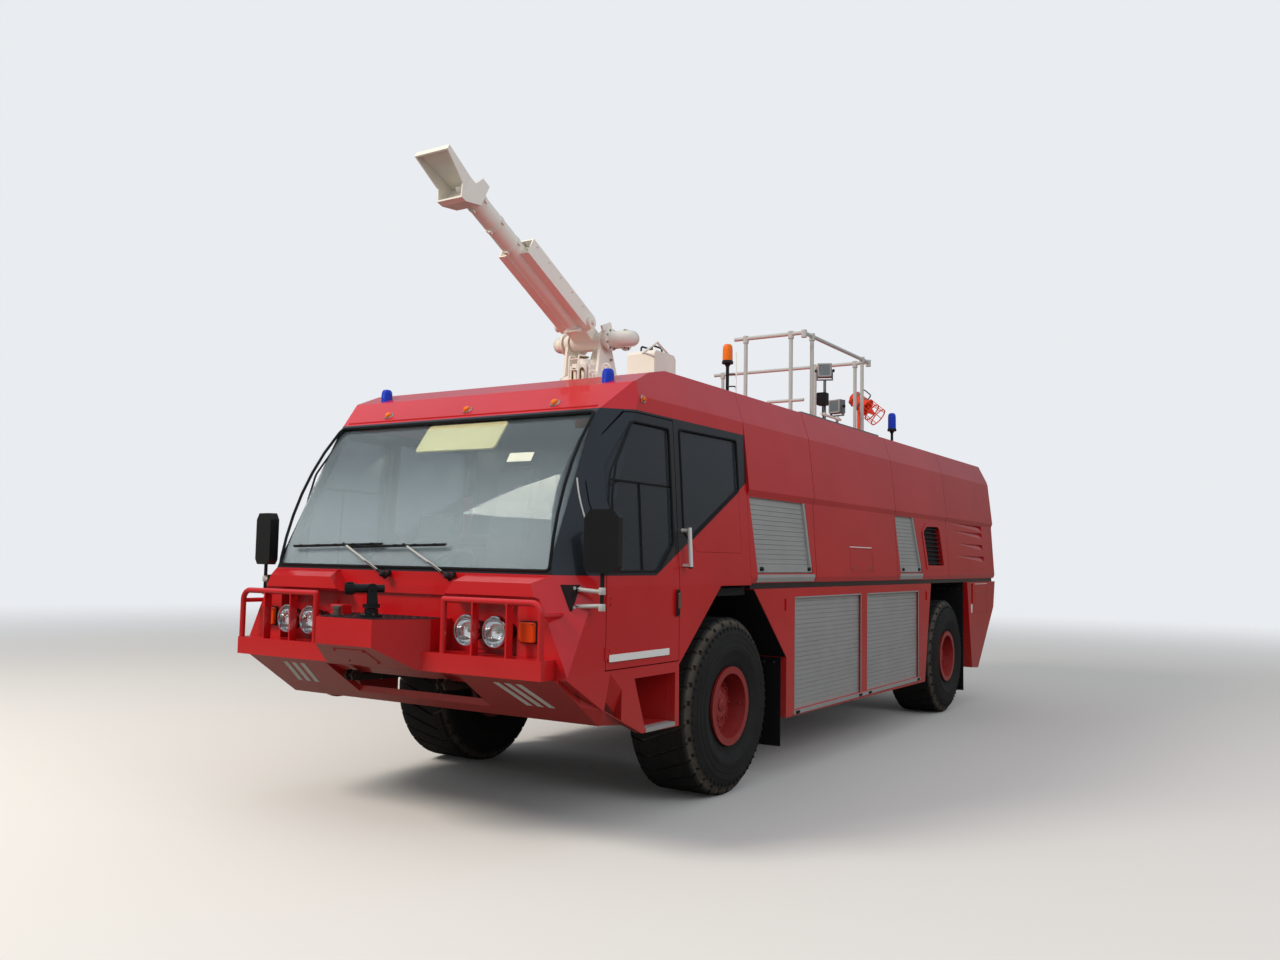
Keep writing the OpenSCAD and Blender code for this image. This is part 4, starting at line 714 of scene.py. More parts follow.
# %% Wheel fittings
for end, y in (("front", 0.0), ("rear", WHEELBASE)):
    for side_name, side in SIDES:
        body = "wheel_%s_%s" % (end, side_name)
        hub = on(side * TRACK_X, y, TYRE_RADIUS, (side, 0, 0))
        nuts, ribs, valve = fresh(3)
        for x, z in circle(10, 0.19):
            seat = hub @ shift(x, z, 0.1185)
            revolve(nuts, "0,0 26,0 24,6 0,6", seat, 16)
            revolve(nuts, "0,4 17.5,4 17.5,24 14,28 10,28 10,40 7,43 0,43", seat, 6)
        for x, z in circle(8, 0.115, 0.5):
            bolt(nuts, hub @ shift(x, z, 0.1795), 0.018)
        revolve(nuts, "0,189 48,189 50,196 36,203 20,204 18,209 0,209", hub, 32)
        for r, x in ((0.335, 0.26), (0.35, 0.2655), (0.452, 0.2925), (0.5, 0.288), (0.545, 0.2838)):
            revolve(ribs, [(r - 0.006, x - 0.004), (r - 0.004, x + 0.002), (r, x + 0.0035), (r + 0.004, x + 0.002),
                (r + 0.006, x - 0.004)], hub, 96, loop=True)
        for k in range(60):
            prism(ribs, "-24,-4 20,-6 20,6 -24,4", hub @ spin(6 * k, "Z") @ shift(0.585, 0, 0.27), 0.008, 0.001)
        sweep(valve, bent([hub @ Vector((0.248, 0, 0.135)), hub @ Vector((0.25, 0, 0.2)),
            hub @ Vector((0.225, 0, 0.235))], 0.012), 0.0045, 8)
        piece("wheel_nuts_%s_%s" % (end, side_name), nuts, rim_enamel, body)
        piece("sidewall_ribs_%s_%s" % (end, side_name), ribs, tyre_rubber, body)
        piece("valve_stem_%s_%s" % (end, side_name), valve, zinc, body)
print("wheels dressed")

# %% [markdown]
# ## Cab skin: seals, handles, mirrors and wipers
# The windscreen is bonded into a rubber section that follows the bow of the glass, and the side panes sit in the same
# section. The door has a rub strip, and a handle whose paddle lies in a dished black housing. The mirrors get their
# silvered plates, and the wiper arms their springs and rubber blades.

# %% Cab skin
SCREEN_RADIUS, SCREEN_CENTRE_Y, SCREEN_CENTRE_Z = 2.0088, -0.11007, 1.40536


def screen_point(x, z, out=0.0):
    """A point on the bowed windscreen, `out` metres proud of it."""
    radius = SCREEN_RADIUS + out
    return at(x, SCREEN_CENTRE_Y - (radius ** 2 - (z - SCREEN_CENTRE_Z) ** 2) ** 0.5, z)


def ring_between(corners, place_of, steps):
    """Points along a closed outline given by its corners, each put in space by place_of."""
    path = []
    for (a, b), (c, d) in zip(corners, corners[1:] + corners[:1]):
        path += [place_of(a + (c - a) * k / steps, b + (d - b) * k / steps) for k in range(steps)]
    return path


def eased_corners(corners, reach, steps=4):
    """Replace each corner of an outline by a short curve."""
    eased = []
    for before, corner, after in zip(corners[-1:] + corners[:-1], corners, corners[1:] + corners[:1]):
        b, c, a = Vector(before), Vector(corner), Vector(after)
        start, end = c + (b - c).normalized() * reach, c + (a - c).normalized() * reach
        eased += [tuple(p) for p in curve(start, c, end, steps)]
    return eased


seal = bmesh.new()
screen_corners = eased_corners(mm("-1260,1707 1260,1707 1220,2778 -1220,2778"), 0.035)
sweep(seal, ring_between(screen_corners, lambda x, z: screen_point(x, z, 0.001), 6), 0.011, 8, loop=True)
piece("windscreen_seal", seal, seal_rubber)


SIDE_X, BELT_Z, SHOULDER_Z, EAVES_Z = 1.49, 1.613, 2.365, 2.910


def body_skin(z):
    """Half width of the body's sloping upper side at height z, or of its upright lower side."""
    return SIDE_X - max(0.0, 0.05 * (z - BELT_Z) / (SHOULDER_Z - BELT_Z))


def side_skin(z):
    """Half width of the cab's sloping side at height z."""
    if z <= SHOULDER_Z:
        return body_skin(z)
    return body_skin(SHOULDER_Z) - 0.04 * (z - SHOULDER_Z) / (EAVES_Z - SHOULDER_Z)


door_pane = mm("-1700,1710 -1700,2200 -1640,2420 -1420,2720 -940,2720 -940,1900 -1150,1710")
rear_pane = mm("-790,1990 -790,2735 110,2745 110,2343 -700,1930")
quarter = mm("-698,1930 -598,1851.5 108.5,1851.5 108.5,2342")


def skin_point(node, start, way, out=0.0):
    """Where a line from `start` along `way` meets the outside of a solid, `out` metres proud of it."""
    ahead = Vector(way).normalized()
    hit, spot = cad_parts[node].ray_cast(Vector(start), ahead)[:2]
    return spot - ahead * out if hit else None


for side_name, side in SIDES:
    for label, outline, body in (
            ("door_pane_seal_", door_pane, "door_" + side_name), ("rear_pane_seal_", rear_pane, "root")):
        seal = bmesh.new()
        sweep(seal, ring_between(eased_corners(outline, 0.03), lambda y, z: at(side * (side_skin(z) + 0.001), y, z),
            2), 0.008, 8, loop=True)
        piece(label + side_name, seal, seal_rubber, body)
    filler, bars, trim = fresh(3)
    trim_way, rings = [], []
    for depth in (0.0135, 0.0015, 0.0):
        inset = 0.0 if depth else 0.0015
        rings.append([at(side * (side_skin(z) - depth), y + (inset if y < 0 else -inset),
            z + (inset if z < 1.9 else -inset)) for y, z in quarter])
    join_rings(filler, rings)
    piece("rear_quarter_panel_" + side_name, filler, red_enamel, smooth=False)
    for (y0, z0), (y1, z1), wide in (
            ((-1.676, 2.306), (-0.942, 2.306), 0.016), ((-1.348, 1.712), (-1.348, 2.3), 0.02)):
        ends = [at(side * (side_skin(z) - 0.0125), y, z) for y, z in ((y0, z0), (y1, z1))]
        sweep(bars, [ends[0] + (ends[1] - ends[0]) * k / 6 for k in range(7)], wide / 2, 8)
    piece("door_pane_bars_" + side_name, bars, seal_rubber, "door_" + side_name)
    way = mm("-1715,2560 -1790,2400 -1832,2220 -1848,2050 -1846,1860")
    for (y0, z0), (y1, z1) in zip(way, way[1:]):
        for k in range(4):
            y, z = y0 + (y1 - y0) * k / 4, z0 + (z1 - z0) * k / 4
            spot = skin_point("cab_frame", at(side * 2.0, y, z), (-side, 0, 0), 0.001)
            if spot and abs(spot.x) > 1.2:
                trim_way.append(spot)
    for _ in range(4):
        between = [(a + b * 2 + c) / 4 for a, b, c in zip(trim_way, trim_way[1:], trim_way[2:])]
        trim_way = trim_way[:1] + between + trim_way[-1:]
    on_skin = [skin_point("cab_frame", (side * 2.0, spot.y, spot.z), (-side, 0, 0), 0.004) for spot in trim_way]
    sweep(trim, [spot for spot in on_skin if spot and abs(spot.x) > 1.2], 0.0055, 8)
    piece("corner_trim_strip_" + side_name, trim, stainless)
    marker, ring = fresh(2)
    spot = skin_point("cab_roof", at(side * 2.0, -1.268, 2.89), (-side, 0, 0), 0.0)
    lamp_seat = facing(spot, (side, 0, 0.07))
    revolve(marker, "0,1 22,1 21,12 15,21 6,25 0,25.5", lamp_seat, 24)
    revolve(ring, "19,-2 31,-2 31,4 27,9 22,6", lamp_seat, 24, loop=True)
    piece("side_marker_dome_" + side_name, marker, amber_lens)
    piece("side_marker_rim_" + side_name, ring, chrome)
    body = "door_" + side_name
    strip, handle, paddle, hinges = fresh(4)
    out = (side, 0, 0)
    plate(strip, on(side * 1.4975, -1.394, 1.159, out), 0.744, 0.046, 0.004, 0.006, 0.0015)
    piece("door_rub_strip_" + side_name, strip, pale_reflector, body)
    plate(handle, on(side * 1.5015, -0.916, 1.49, out), 0.046, 0.19, 0.006, 0.018, 0.002)
    plate(paddle, on(side * 1.507, -0.916, 1.505, out), 0.026, 0.11, 0.011, 0.01, 0.004)
    revolve(handle, "0,5 9,5 9,9 6,10 0,10", on(side * 1.5015, -0.916, 1.425, out), 20)
    piece("door_handle_housing_" + side_name, handle, black_plastic, body)
    piece("door_handle_paddle_" + side_name, paddle, zinc, body)
    for z in (1.19, 1.52):
        plate(hinges, on(side * 1.4895, -1.757, z, out), 0.052, 0.07, 0.005, 0.006, 0.001)
        for dz in (-0.02, 0.02):
            bolt(hinges, on(side * 1.4945, -1.752, z + dz, out), 0.01)
    piece("door_hinge_leaves_" + side_name, hinges, red_enamel, body)
    glass, knuckles = fresh(2)
    lean = spin(12 * side, "Z")
    head = stand(side * 1.576, -1.973, 1.7) @ lean
    face = head @ shift(0, 0.035, 0) @ spin(-90, "X") @ Matrix.Diagonal((1, -1, 1, 1))
    pane = eased_corners(mm("-100,45 -74,15 74,15 100,45 100,255 -100,255"), 0.012)
    prism(glass, pane, face, 0.003, 0.001)
    lower = eased_corners(mm("-100,268 100,268 100,340 72,378 -72,378 -100,340"), 0.012)
    prism(glass, lower, face, 0.003, 0.001)
    piece("mirror_glass_" + side_name, glass, mirror_glass)
    for z in (1.49, 1.59):
        revolve(knuckles, "0,-22 20,-22 22,-18 22,18 20,22 0,22", stand(side * 1.576, -1.973, z), 20)
    for y, z in ((-2.05, 1.485), (-1.99, 1.605), (-2.05, 1.605), (-1.99, 1.485)):
        bolt(knuckles, on(side * 1.42, y, z, out), 0.016)
    for foot, tip in ((at(side * 1.398, -2.023, 1.5985), at(side * 1.566, -1.976, 1.586)),
            (at(side * 1.398, -2.041, 1.491), at(side * 1.566, -1.977, 1.499))):
        sweep(knuckles, [foot + (tip - foot) * 0.16, foot + (tip - foot) * 0.22, tip], 0.0135, 16)
    piece("mirror_bracket_knuckles_" + side_name, knuckles, stainless)
blades, springs, arms = fresh(3)
for x in (-0.118, 0.477):
    heel, wrist = at(x, -2.16, 1.655), at(x - 0.49, -2.082, 1.868)
    along = wrist - heel
    for k in range(2):
        low = heel + along * (0.12 + 0.02 * k) + Vector((0, -0.012, 0.006))
        sweep(springs, [low, heel + along * 0.42 + Vector((0, -0.01, 0.004))], 0.0035, 8)
    sweep(arms, [heel + along * 0.14 + Vector((0, -0.004, 0.003)), heel + along * 0.9 + Vector((0, -0.004, 0.003))],
        0.0082, 10)
    revolve(springs, "0,-4 24,-4 26,4 20,16 8,20 0,20", facing(heel + Vector((0, -0.004, 0.006)), (0, -0.8, 0.6)), 24)
    left, right = at(x - 1.014, -2.084, 1.845), at(x - 0.1, -2.078, 1.868)
    for k in range(5):
        spot = left + (right - left) * (0.1 + 0.2 * k)
        sweep(blades, [spot + Vector((-0.06, -0.004, -0.004)), spot + Vector((0, -0.014, 0.006)),
            spot + Vector((0.06, -0.004, -0.004))], 0.004, 6)
    sweep(blades, [left + Vector((0.01, -0.001, -0.008)), right + Vector((-0.01, -0.001, -0.008))], 0.0055, 4)
piece("wiper_blade_yokes", blades, black_plastic)
piece("wiper_springs_and_caps", springs, black_plastic)
piece("wiper_arm_channels", arms, stainless)
print("cab skin dressed")

# %% [markdown]
# ## Bumper, apron and steps
# The bumper box carries a dark chequer plate, so that somebody can stand on it to wash the windscreen. Its lozenges
# are rolled into the steel at a fixed pitch, in alternating directions. The apron's corners wear three pale bands, and
# the small fittings beside the bumper turret are its valve box and its pipe stub.

# %% Front fittings


def lozenges(build, outline, place, pitch=0.034, high=0.0016):
    """Raised lozenges in alternating directions over the inside of an outline."""
    xs, ys = [p[0] for p in outline], [p[1] for p in outline]
    columns, rows = int((max(xs) - min(xs)) / pitch), int((max(ys) - min(ys)) / pitch)
    for i in range(columns):
        for j in range(rows):
            x, y = min(xs) + (i + 0.5) * pitch, min(ys) + (j + 0.5) * pitch
            inside = True
            for (ax, ay), (bx, by) in zip(outline, outline[1:] + outline[:1]):
                reach = ((bx - ax) * (y - ay) - (by - ay) * (x - ax)) / ((bx - ax) ** 2 + (by - ay) ** 2) ** 0.5
                inside = inside and reach > pitch * 0.45
            if not inside:
                continue
            turn = spin(45 if (i + j) % 2 else -45, "Z")
            prism(build, "-14,0 0,-3.5 14,0 0,3.5", place @ shift(x, y, 0) @ turn, high, 0.001)


tread = bmesh.new()
box_outline = mm("240,-2590 440,-2285 440,-2120 -440,-2120 -440,-2285 -240,-2590")
BOX_TOP_Z, NOZZLE_X, NOZZLE_Y = 1.3795, 0.085, -2.45
prism(tread, box_outline, stand(0, 0, BOX_TOP_Z), 0.0045)
lozenges(tread, box_outline, stand(0, 0, 1.384))
piece("bumper_tread_plate", tread, dark_steel, smooth=False)
treads = bmesh.new()
for side_name, side in SIDES:
    step = stand(side * 1.33, -1.1125, 0.668)
    outline = mm("-150,-180 150,-180 150,180 -150,180")
    prism(treads, outline, step, 0.002)
    lozenges(treads, outline, step @ shift(0, 0, 0.002))
piece("step_tread_plates", treads, bare_aluminium, smooth=False)

bands = bmesh.new()
APRON_OUT = Vector((0, -0.323, -0.463)).normalized()
for side_name, side in SIDES:
    for high_x, low_x in ((0.88, 0.975), (0.97, 1.065), (1.06, 1.155)):
        corners = []
        for x, y in ((high_x, -2.155), (high_x + 0.048, -2.155), (low_x + 0.048, -1.925), (low_x, -1.925)):
            z = 1.0537 - (y + 2.23) * 0.3227 / 0.463
            corners.append(at(side * x, y, z) + APRON_OUT * 0.0005)
        join_rings(bands, [corners, [c + APRON_OUT * 0.0012 for c in corners]])
piece("apron_pale_bands", bands, pale_reflector, smooth=False)

valve, stub = fresh(2)
plate(valve, stand(-0.33, -2.33, 1.38), 0.12, 0.09, 0.07, 0.01, 0.004)
plate(valve, on(-0.33, -2.375, 1.415, (0, -1, 0)), 0.1, 0.048, 0.004, 0.006, 0.001)
for dx in (-0.042, 0.042):
    bolt(valve, on(-0.33 + dx, -2.379, 1.415, (0, -1, 0)), 0.008)
piece("bumper_valve_box", valve, red_enamel)
revolve(stub, "0,0 40,0 40,8 26,10 26,40 32,42 32,62 24,66 0,66", stand(-0.2, -2.48, 1.3835), 32)
for x, y in circle(4, 0.033, 0.5):
    bolt(stub, stand(-0.2 + x, -2.48 + y, 1.3905), 0.008)
piece("bumper_drain_stub", stub, zinc)
ring = bmesh.new()
for x, y in circle(6, 0.062, 0.5):
    bolt(ring, stand(NOZZLE_X + x, NOZZLE_Y + y, 1.4), 0.012)
piece("bumper_turret_base_bolts", ring, zinc)
wheel = bmesh.new()
TURRET_HEAD = stand(NOZZLE_X, NOZZLE_Y, 1.38) @ spin(-40, "Z")
knob = TURRET_HEAD @ facing(Vector((-0.058, 0.0, 0.13)), (-1, 0, 0))
revolve(wheel, "0,0 10,0 10,30 18,32 20,46 12,54 0,55", knob, 20)
for x in (-0.058, 0.058):
    bolt(wheel, TURRET_HEAD @ facing(Vector((x, 0, 0.19)), (x, 0, 0)), 0.022)
piece("bumper_turret_lock_knob", wheel, black_plastic, "bumper_turret_head")
spout = bmesh.new()
nozzle = stand(NOZZLE_X, NOZZLE_Y, 1.57) @ spin(-40, "Z") @ facing(Vector((0, 0, 0)), (0, -1, 0))
for k in range(12):
    prism(spout, "0,-5 5,-4 5,4 0,5", nozzle @ spin(30 * k, "Z") @ shift(0.037, 0, 0.12), 0.04, 0.001)
revolve(spout, "29,169.5 40,166 41,171 31,173.5", nozzle, 32, loop=True)
piece("bumper_turret_nozzle_grip", spout, seal_rubber, "bumper_turret_nozzle")
print("front fittings made")

# %% [markdown]
# Thin sheet parts close the front: a hatch plate under the bumper box, a gutter bead over the windscreen, the red well
# behind each step, bolted black plates on slanted faces of the wheel arches, and an empty pass card behind the glass.
# They are folded sheet on the real truck, so each is a few millimetres thick and follows the panel that carries it.

# %% Sheet parts
hatch, gutter, wells, arch_black_plates, card, gussets = fresh(6)
BOX_DOWN = Vector((0, -0.517, -0.856))
spot = on(0, -2.4835, 1.1306, BOX_DOWN, (0, 1, 0))
plate(hatch, spot, 0.3, 0.19, 0.004, 0.02, 0.001)
for sx, sy in CORNERS:
    bolt(hatch, spot @ shift(sx * 0.132, sy * 0.078, 0.004), 0.01)
piece("bumper_box_hatch", hatch, red_enamel)
bead = [skin_point("cab_roof", at(-1.2 + 0.1 * k, -3.0, 2.826), (0, 1, 0)) for k in range(25)]
sweep(gutter, [spot for spot in bead if spot], 0.009, 8)
piece("roof_front_gutter", gutter, red_enamel)
for side_name, side in SIDES:
    well = mm("-1440,1006 -1298,669 -921.5,669 -921.5,1006")
    inner = mm("-1436,1003 -1296,672 -924.5,672 -924.5,1003")
    join_rings(wells, [[at(side * x, y, z) for y, z in outline] for x,
        outline in ((1.172, well), (1.432, well), (1.432, inner), (1.175, inner))])
    # Black bolted plates lie on one slanted face of each wheel arch.
    for (y0, z0), (y1, z1), way in (
            ((0.312, 1.5605), (0.929, 0.9905), (-0.679, -0.734)), ((4.722, 0.47), (4.949, 1.55), (0.979, -0.206))):
        run = Vector((0, y1 - y0, z1 - z0))
        spot = facing(at(side * 1.2085, (y0 + y1) / 2, (z0 + z1) / 2) + Vector((0, way[0], way[1])) * 0.0005,
            (0, way[0], way[1]), run)
        plate(arch_black_plates, spot, 0.553, run.length, 0.003, 0.01, 0.001)
        for k in range(4):
            for across in (-0.24, 0.24):
                bolt(arch_black_plates, spot @ shift(across, run.length * (k - 1.5) * 0.28, 0.003), 0.013)
    corners = mm(
        "1333,-2223,1050.5 1488.5,-1802,832.5 1488.5,-1510,709.5 1424,-1510,708.5 1424,-1768,733 1424,-1978,877")
    low = [gussets.verts.new(at(side * x, y, z)) for x, y, z in corners]
    high = [gussets.verts.new(at(side * (x - 0.002), y + 0.002, z + 0.004)) for x, y, z in corners]
    for a, b, c in ((0, 1, 5), (1, 4, 5), (1, 2, 3), (1, 3, 4)):
        gussets.faces.new((low[a], low[b], low[c]))
        gussets.faces.new((high[c], high[b], high[a]))
    for k in range(6):
        gussets.faces.new((low[k], low[(k + 1) % 6], high[(k + 1) % 6], high[k]))
piece("apron_corner_gussets", gussets, red_enamel, smooth=False)
piece("step_wells", wells, red_enamel, smooth=False)
piece("wheel_arch_liners", arch_black_plates, black_plastic)
plate(card, facing(screen_point(0.76, 2.465, -0.0245), (0, -0.849, 0.528)), 0.21, 0.075, 0.0015, 0.004)
piece("empty_pass_card", card, turret_enamel)
print("sheet parts made")

# %% [markdown]
# ## Lockers, hatches and the rear
# Roller shutters lock with small turn handles on their foot rails, and the flush hatches with quarter-turn locks. The
# guides that the slats run in are bright extrusions. Reflectors and thin pale lines mark the skirts. Each lock is a
# turned body with a key slot, because a flat disc would read as a sticker.

# %% Body fittings


handles, guides, locks, marks, tapes = fresh(5)
for side_name, side in SIDES:
    out = (side, 0, 0)
    for y in (1.145, 2.64, 2.905, 4.44):
        spot = on(side * 1.5035, y, 0.507, out)
        plate(handles, spot, 0.07, 0.026, 0.006, 0.006, 0.002)
        plate(handles, spot @ shift(0, 0, 0.006) @ spin(8, "Z"), 0.052, 0.012, 0.008, 0.005, 0.002)
    for y in (0.46, 1.42, 3.99, 4.54):
        x = body_skin(1.728) - 0.003
        spot = on(side * x, y, 1.728, out)
        plate(handles, spot, 0.062, 0.034, 0.007, 0.008, 0.002)
        plate(handles, spot @ shift(0, -0.004, 0.007), 0.046, 0.014, 0.01, 0.006, 0.003)
    for y0, y1 in ((1.1, 2.69), (2.855, 4.49)):
        for y in (y0 + 0.006, y1 - 0.006):
            plate(guides, on(side * 1.4895, y, 1.01, out), 0.012, 0.958, 0.003, 0.003, 0.001)
        plate(guides, on(side * 1.4895, (y0 + y1) / 2, 1.484, out), y1 - y0, 0.012, 0.003, 0.003, 0.001)
    for y, z in ((2.5, 1.74), (2.975, 1.74), (6.9, 1.43), (7.39, 1.43)):
        spot = on(side * (body_skin(z) - 0.001), y, z, out)
        revolve(locks, "0,0 17,0 17,3 13.5,5 12,4 0,4", spot, 28)
        plate(locks, spot @ shift(0, 0, 0.0035), 0.014, 0.004, 0.003, 0.0018, 0.0005)
    plate(marks, on(side * 1.4895, 6.685, 1.225, out), 0.05, 0.11, 0.005, 0.008, 0.002)
    plate(tapes, on(side * 1.4897, 7.145, 1.54, out), 0.6, 0.008, 0.0015, 0.003)
    plate(tapes, on(side * (body_skin(1.945) - 0.0008), 2.7375, 1.945, (side, 0, 0.0665)), 0.6, 0.008, 0.0015, 0.003)
piece("shutter_turn_handles", handles, black_plastic)
piece("shutter_guides", guides, bare_aluminium)
piece("hatch_locks", locks, zinc)
piece("skirt_reflectors", marks, pale_reflector)
piece("hatch_top_lines", tapes, pale_reflector)

rear = bmesh.new()
for x in (-0.64, 0.64):
    for z in (1.79, 2.42):
        bolt(rear, on(x, TAIL_Y - 0.0085, z, (0, 1, 0)), 0.01)
for side_name, side in SIDES:
    for z in (0.94, 1.01):
        for y in (7.6, 7.7):
            bolt(rear, on(side * 0.4755, y, z, (side, 0, 0)), 0.024)
piece("rear_fasteners", rear, zinc)
flap_bars = bmesh.new()
for y, z in ((0.935, 0.94), (6.472, 1.48)):
    for side_name, side in SIDES:
        for k in range(5):
            bolt(flap_bars, on(side * (1.02 + 0.09 * k), y - (0.0125 if y < 1 else 0.012), z, (0, -1, 0)), 0.013)
piece("mudflap_bolts", flap_bars, zinc)
print("body fittings made")

# %% [markdown]
# ## Roof deck
# The deck carries two working floodlights on stalks, their junction box, a whip aerial beside the amber beacon and a
# portable foam generator in its cage. Floodlight fronts are glass over a pebbled reflector in a bolted bezel; cooling
# fins stand on their backs.

# %% Roof deck fittings
bezels, fronts, fins = fresh(3)
for x, y, z, turn in ((0.8, 3.4, 3.88, 20), (0.8, 3.76, 3.53, -15)):
    head = stand(x, y, z) @ spin(turn, "Z")
    front = head @ facing(Vector((0, -0.05, 0)), (0, -1, 0))
    outer, inner = rounded(0.15, 0.15, 0.012), rounded(0.118, 0.118, 0.01)
    join_rings(bezels, [[front @ Vector((a * scale, b * scale, height)) for a, b in ring] for ring, scale,
        height in ((outer, 1.0, 0.0), (outer, 0.97, 0.01), (inner, 1.0, 0.01), (inner, 1.0, 0.0))], loop=True)
    plate(fronts, front @ shift(0, 0, 0.0005), 0.119, 0.119, 0.005, 0.01, 0.001)
    for sx, sy in CORNERS:
        bolt(bezels, front @ shift(sx * 0.064, sy * 0.064, 0.0095), 0.007)
    for k in range(7):
        fin = head @ shift(-0.054 + 0.018 * k, 0.049, -0.06) @ spin(90, "Y")
        prism(fins, "-120,0 0,0 0,14 -8,20 -112,20 -120,14", fin, 0.003)
    for sx in (-1, 1):
        revolve(fins, "0,0 16,0 18,4 18,14 14,18 0,18", head @ facing(Vector((sx * 0.088, 0, 0)), (sx, 0, 0)), 12)
piece("floodlight_bezels", bezels, bare_aluminium)
piece("floodlight_fins_and_knobs", fins, black_plastic)
piece("floodlight_glasses", fronts, reflector_silver)

box, rod, aerial = fresh(3)
plate(box, on(0.8, 3.383, 3.56, (0, -1, 0)), 0.11, 0.14, 0.085, 0.012, 0.006)
for dx, dz in ((-0.042, -0.057), (0.042, -0.057), (0.042, 0.057), (-0.042, 0.057)):
    bolt(box, on(0.8 + dx, 3.299, 3.56 + dz, (0, -1, 0)), 0.008)
sweep(box, bent([at(0.8, 3.34, 3.492), at(0.8, 3.34, 3.42), at(0.78, 3.42, 3.33), at(0.776, 3.4, 3.18)], 0.03), 0.007,
    8)
piece("deck_junction_box", box, black_plastic)
sweep(rod, [at(0.8, 3.3, 3.395), at(0.8, 3.86, 3.395)], 0.014, 14)
for y in (3.4, 3.76):
    revolve(rod, "14,-22 24,-20 26,0 24,20 14,22", on(0.8, y, 3.395, (0, 1, 0)), 20, loop=True)
piece("deck_cross_rod", rod, turret_enamel)
foot = stand(0.985, 0.93, roof_height(0.985) - 0.002)
revolve(aerial, "0,0 34,0 34,8 20,14 14,30 14,60 8,70 7.5,470 4,476 0,478", foot, 20)
piece("whip_aerial", aerial, turret_enamel)
arms = bmesh.new()
for z in (3.33, 3.44):
    sweep(arms, bent([at(0.9, 0.93, z), at(0.93, 0.9, z), at(0.965, 0.9, z), at(0.985, 0.93, z)], 0.012), 0.006, 8)
piece("aerial_bracket_arms", arms, black_plastic)

FOAM = stand(0.8, 4.67, 3.64) @ spin(130, "Y")
bands, vane = fresh(2)
for h in (-0.16, -0.06):
    revolve(bands, [(0.088, h - 0.01), (0.093, h - 0.009), (0.094, h), (0.093, h + 0.009), (0.088, h + 0.01)], FOAM,
        40, loop=True)
    bolt(bands, FOAM @ facing(Vector((0.091, 0, h)), (1, 0, 0)), 0.014)
sweep(bands, bent([FOAM @ Vector((-0.085, 0, -0.17)), FOAM @ Vector((-0.15, 0, -0.165)),
    FOAM @ Vector((-0.15, 0, -0.045)), FOAM @ Vector((-0.085, 0, -0.04))], 0.025), 0.008, 10)
piece("foam_unit_straps_and_grip", bands, zinc)
revolve(vane, "0,7 40,7 36,60 20,120 8,140 0,141", FOAM, 28)
for k in range(6):
    blade = FOAM @ spin(60 * k, "Z") @ shift(0.034, 0, 0.006) @ spin(68, "X")
    prism(vane, "0,0 44,0 48,50 -4,60", blade, 0.003)
piece("foam_unit_spreader", vane, foam_orange)
print("roof deck made")

# %% [markdown]
# ## Roof turret
# The swan neck is bolted up from flanged cast bends, so that each can be turned before it is tightened. Bolt circles
# on the flanges, the slewing ring and the barrel's shroud carry that story. Clamping straps ring the tube, and they
# tilt with it. At its foot stand the hand valves, in a cage of bent white rod that keeps boots off them.

# %% Turret details
ring_bolts = bmesh.new()
for x, y in circle(16, 0.275, 0.5):
    bolt(ring_bolts, stand(x, 0.15 + y, 3.34), 0.019)
for side_name, side in SIDES:
    for y, z in ((0.05, 3.66), (0.275, 3.7)):
        for dy, dz in circle(8, 0.0825, 0.5):
            bolt(ring_bolts, on(side * 0.247, y + dy, z + dz, (side, 0, 0)), 0.013)
    revolve(ring_bolts, "0,0 12,0 12,10 7,12 7,18 4,24 0,24", on(side * 0.185, 0.12, 3.5, (side, 0, 0)), 12)
piece("turret_neck_bolts", ring_bolts, zinc, "turret_head")

BARREL = stand(0, 0.05, 3.66) @ spin(-28, "X")


def on_barrel(x, s, h):
    """A point on the barrel: x across, s along it from the tilt axis, h over its own axis."""
    return BARREL @ Vector((x, -s, h))


UP_BARREL = BARREL.to_3x3() @ Vector((0, 0, 1))
fasteners, straps = fresh(2)
for side_name, side in SIDES:
    for s in (0.38, 0.56, 0.74, 0.92, 1.1):
        bolt(fasteners, facing(on_barrel(side * 0.15, s, 0.07), (side, 0, 0), UP_BARREL), 0.013)
    bolt(fasteners, facing(on_barrel(side * 0.182, 0.235, 0.008), (side, 0, 0), UP_BARREL), 0.036)
    for s in (0.3, 0.56, 0.82, 1.08):
        bolt(fasteners, facing(on_barrel(side * 0.11, s, 0.098), UP_BARREL, (1, 0, 0)), 0.012)
AHEAD = BARREL.to_3x3() @ Vector((0, -1, 0))
for s in (1.23, 1.46, 1.69):
    revolve(straps, "79,-16 84,-15 85,0 84,15 79,16", facing(on_barrel(0, s, 0), AHEAD), 40, loop=True)
    plate(straps, facing(on_barrel(0, s, -0.084), -UP_BARREL, (1, 0, 0)), 0.034, 0.028, 0.012, 0.004, 0.001)
    plate(straps, facing(on_barrel(0.083, s, 0.0), (1, 0, 0), UP_BARREL), 0.03, 0.03, 0.014, 0.004, 0.001)
piece("barrel_fasteners", fasteners, turret_enamel, "turret_barrel")
piece("barrel_straps", straps, turret_enamel, "turret_barrel")

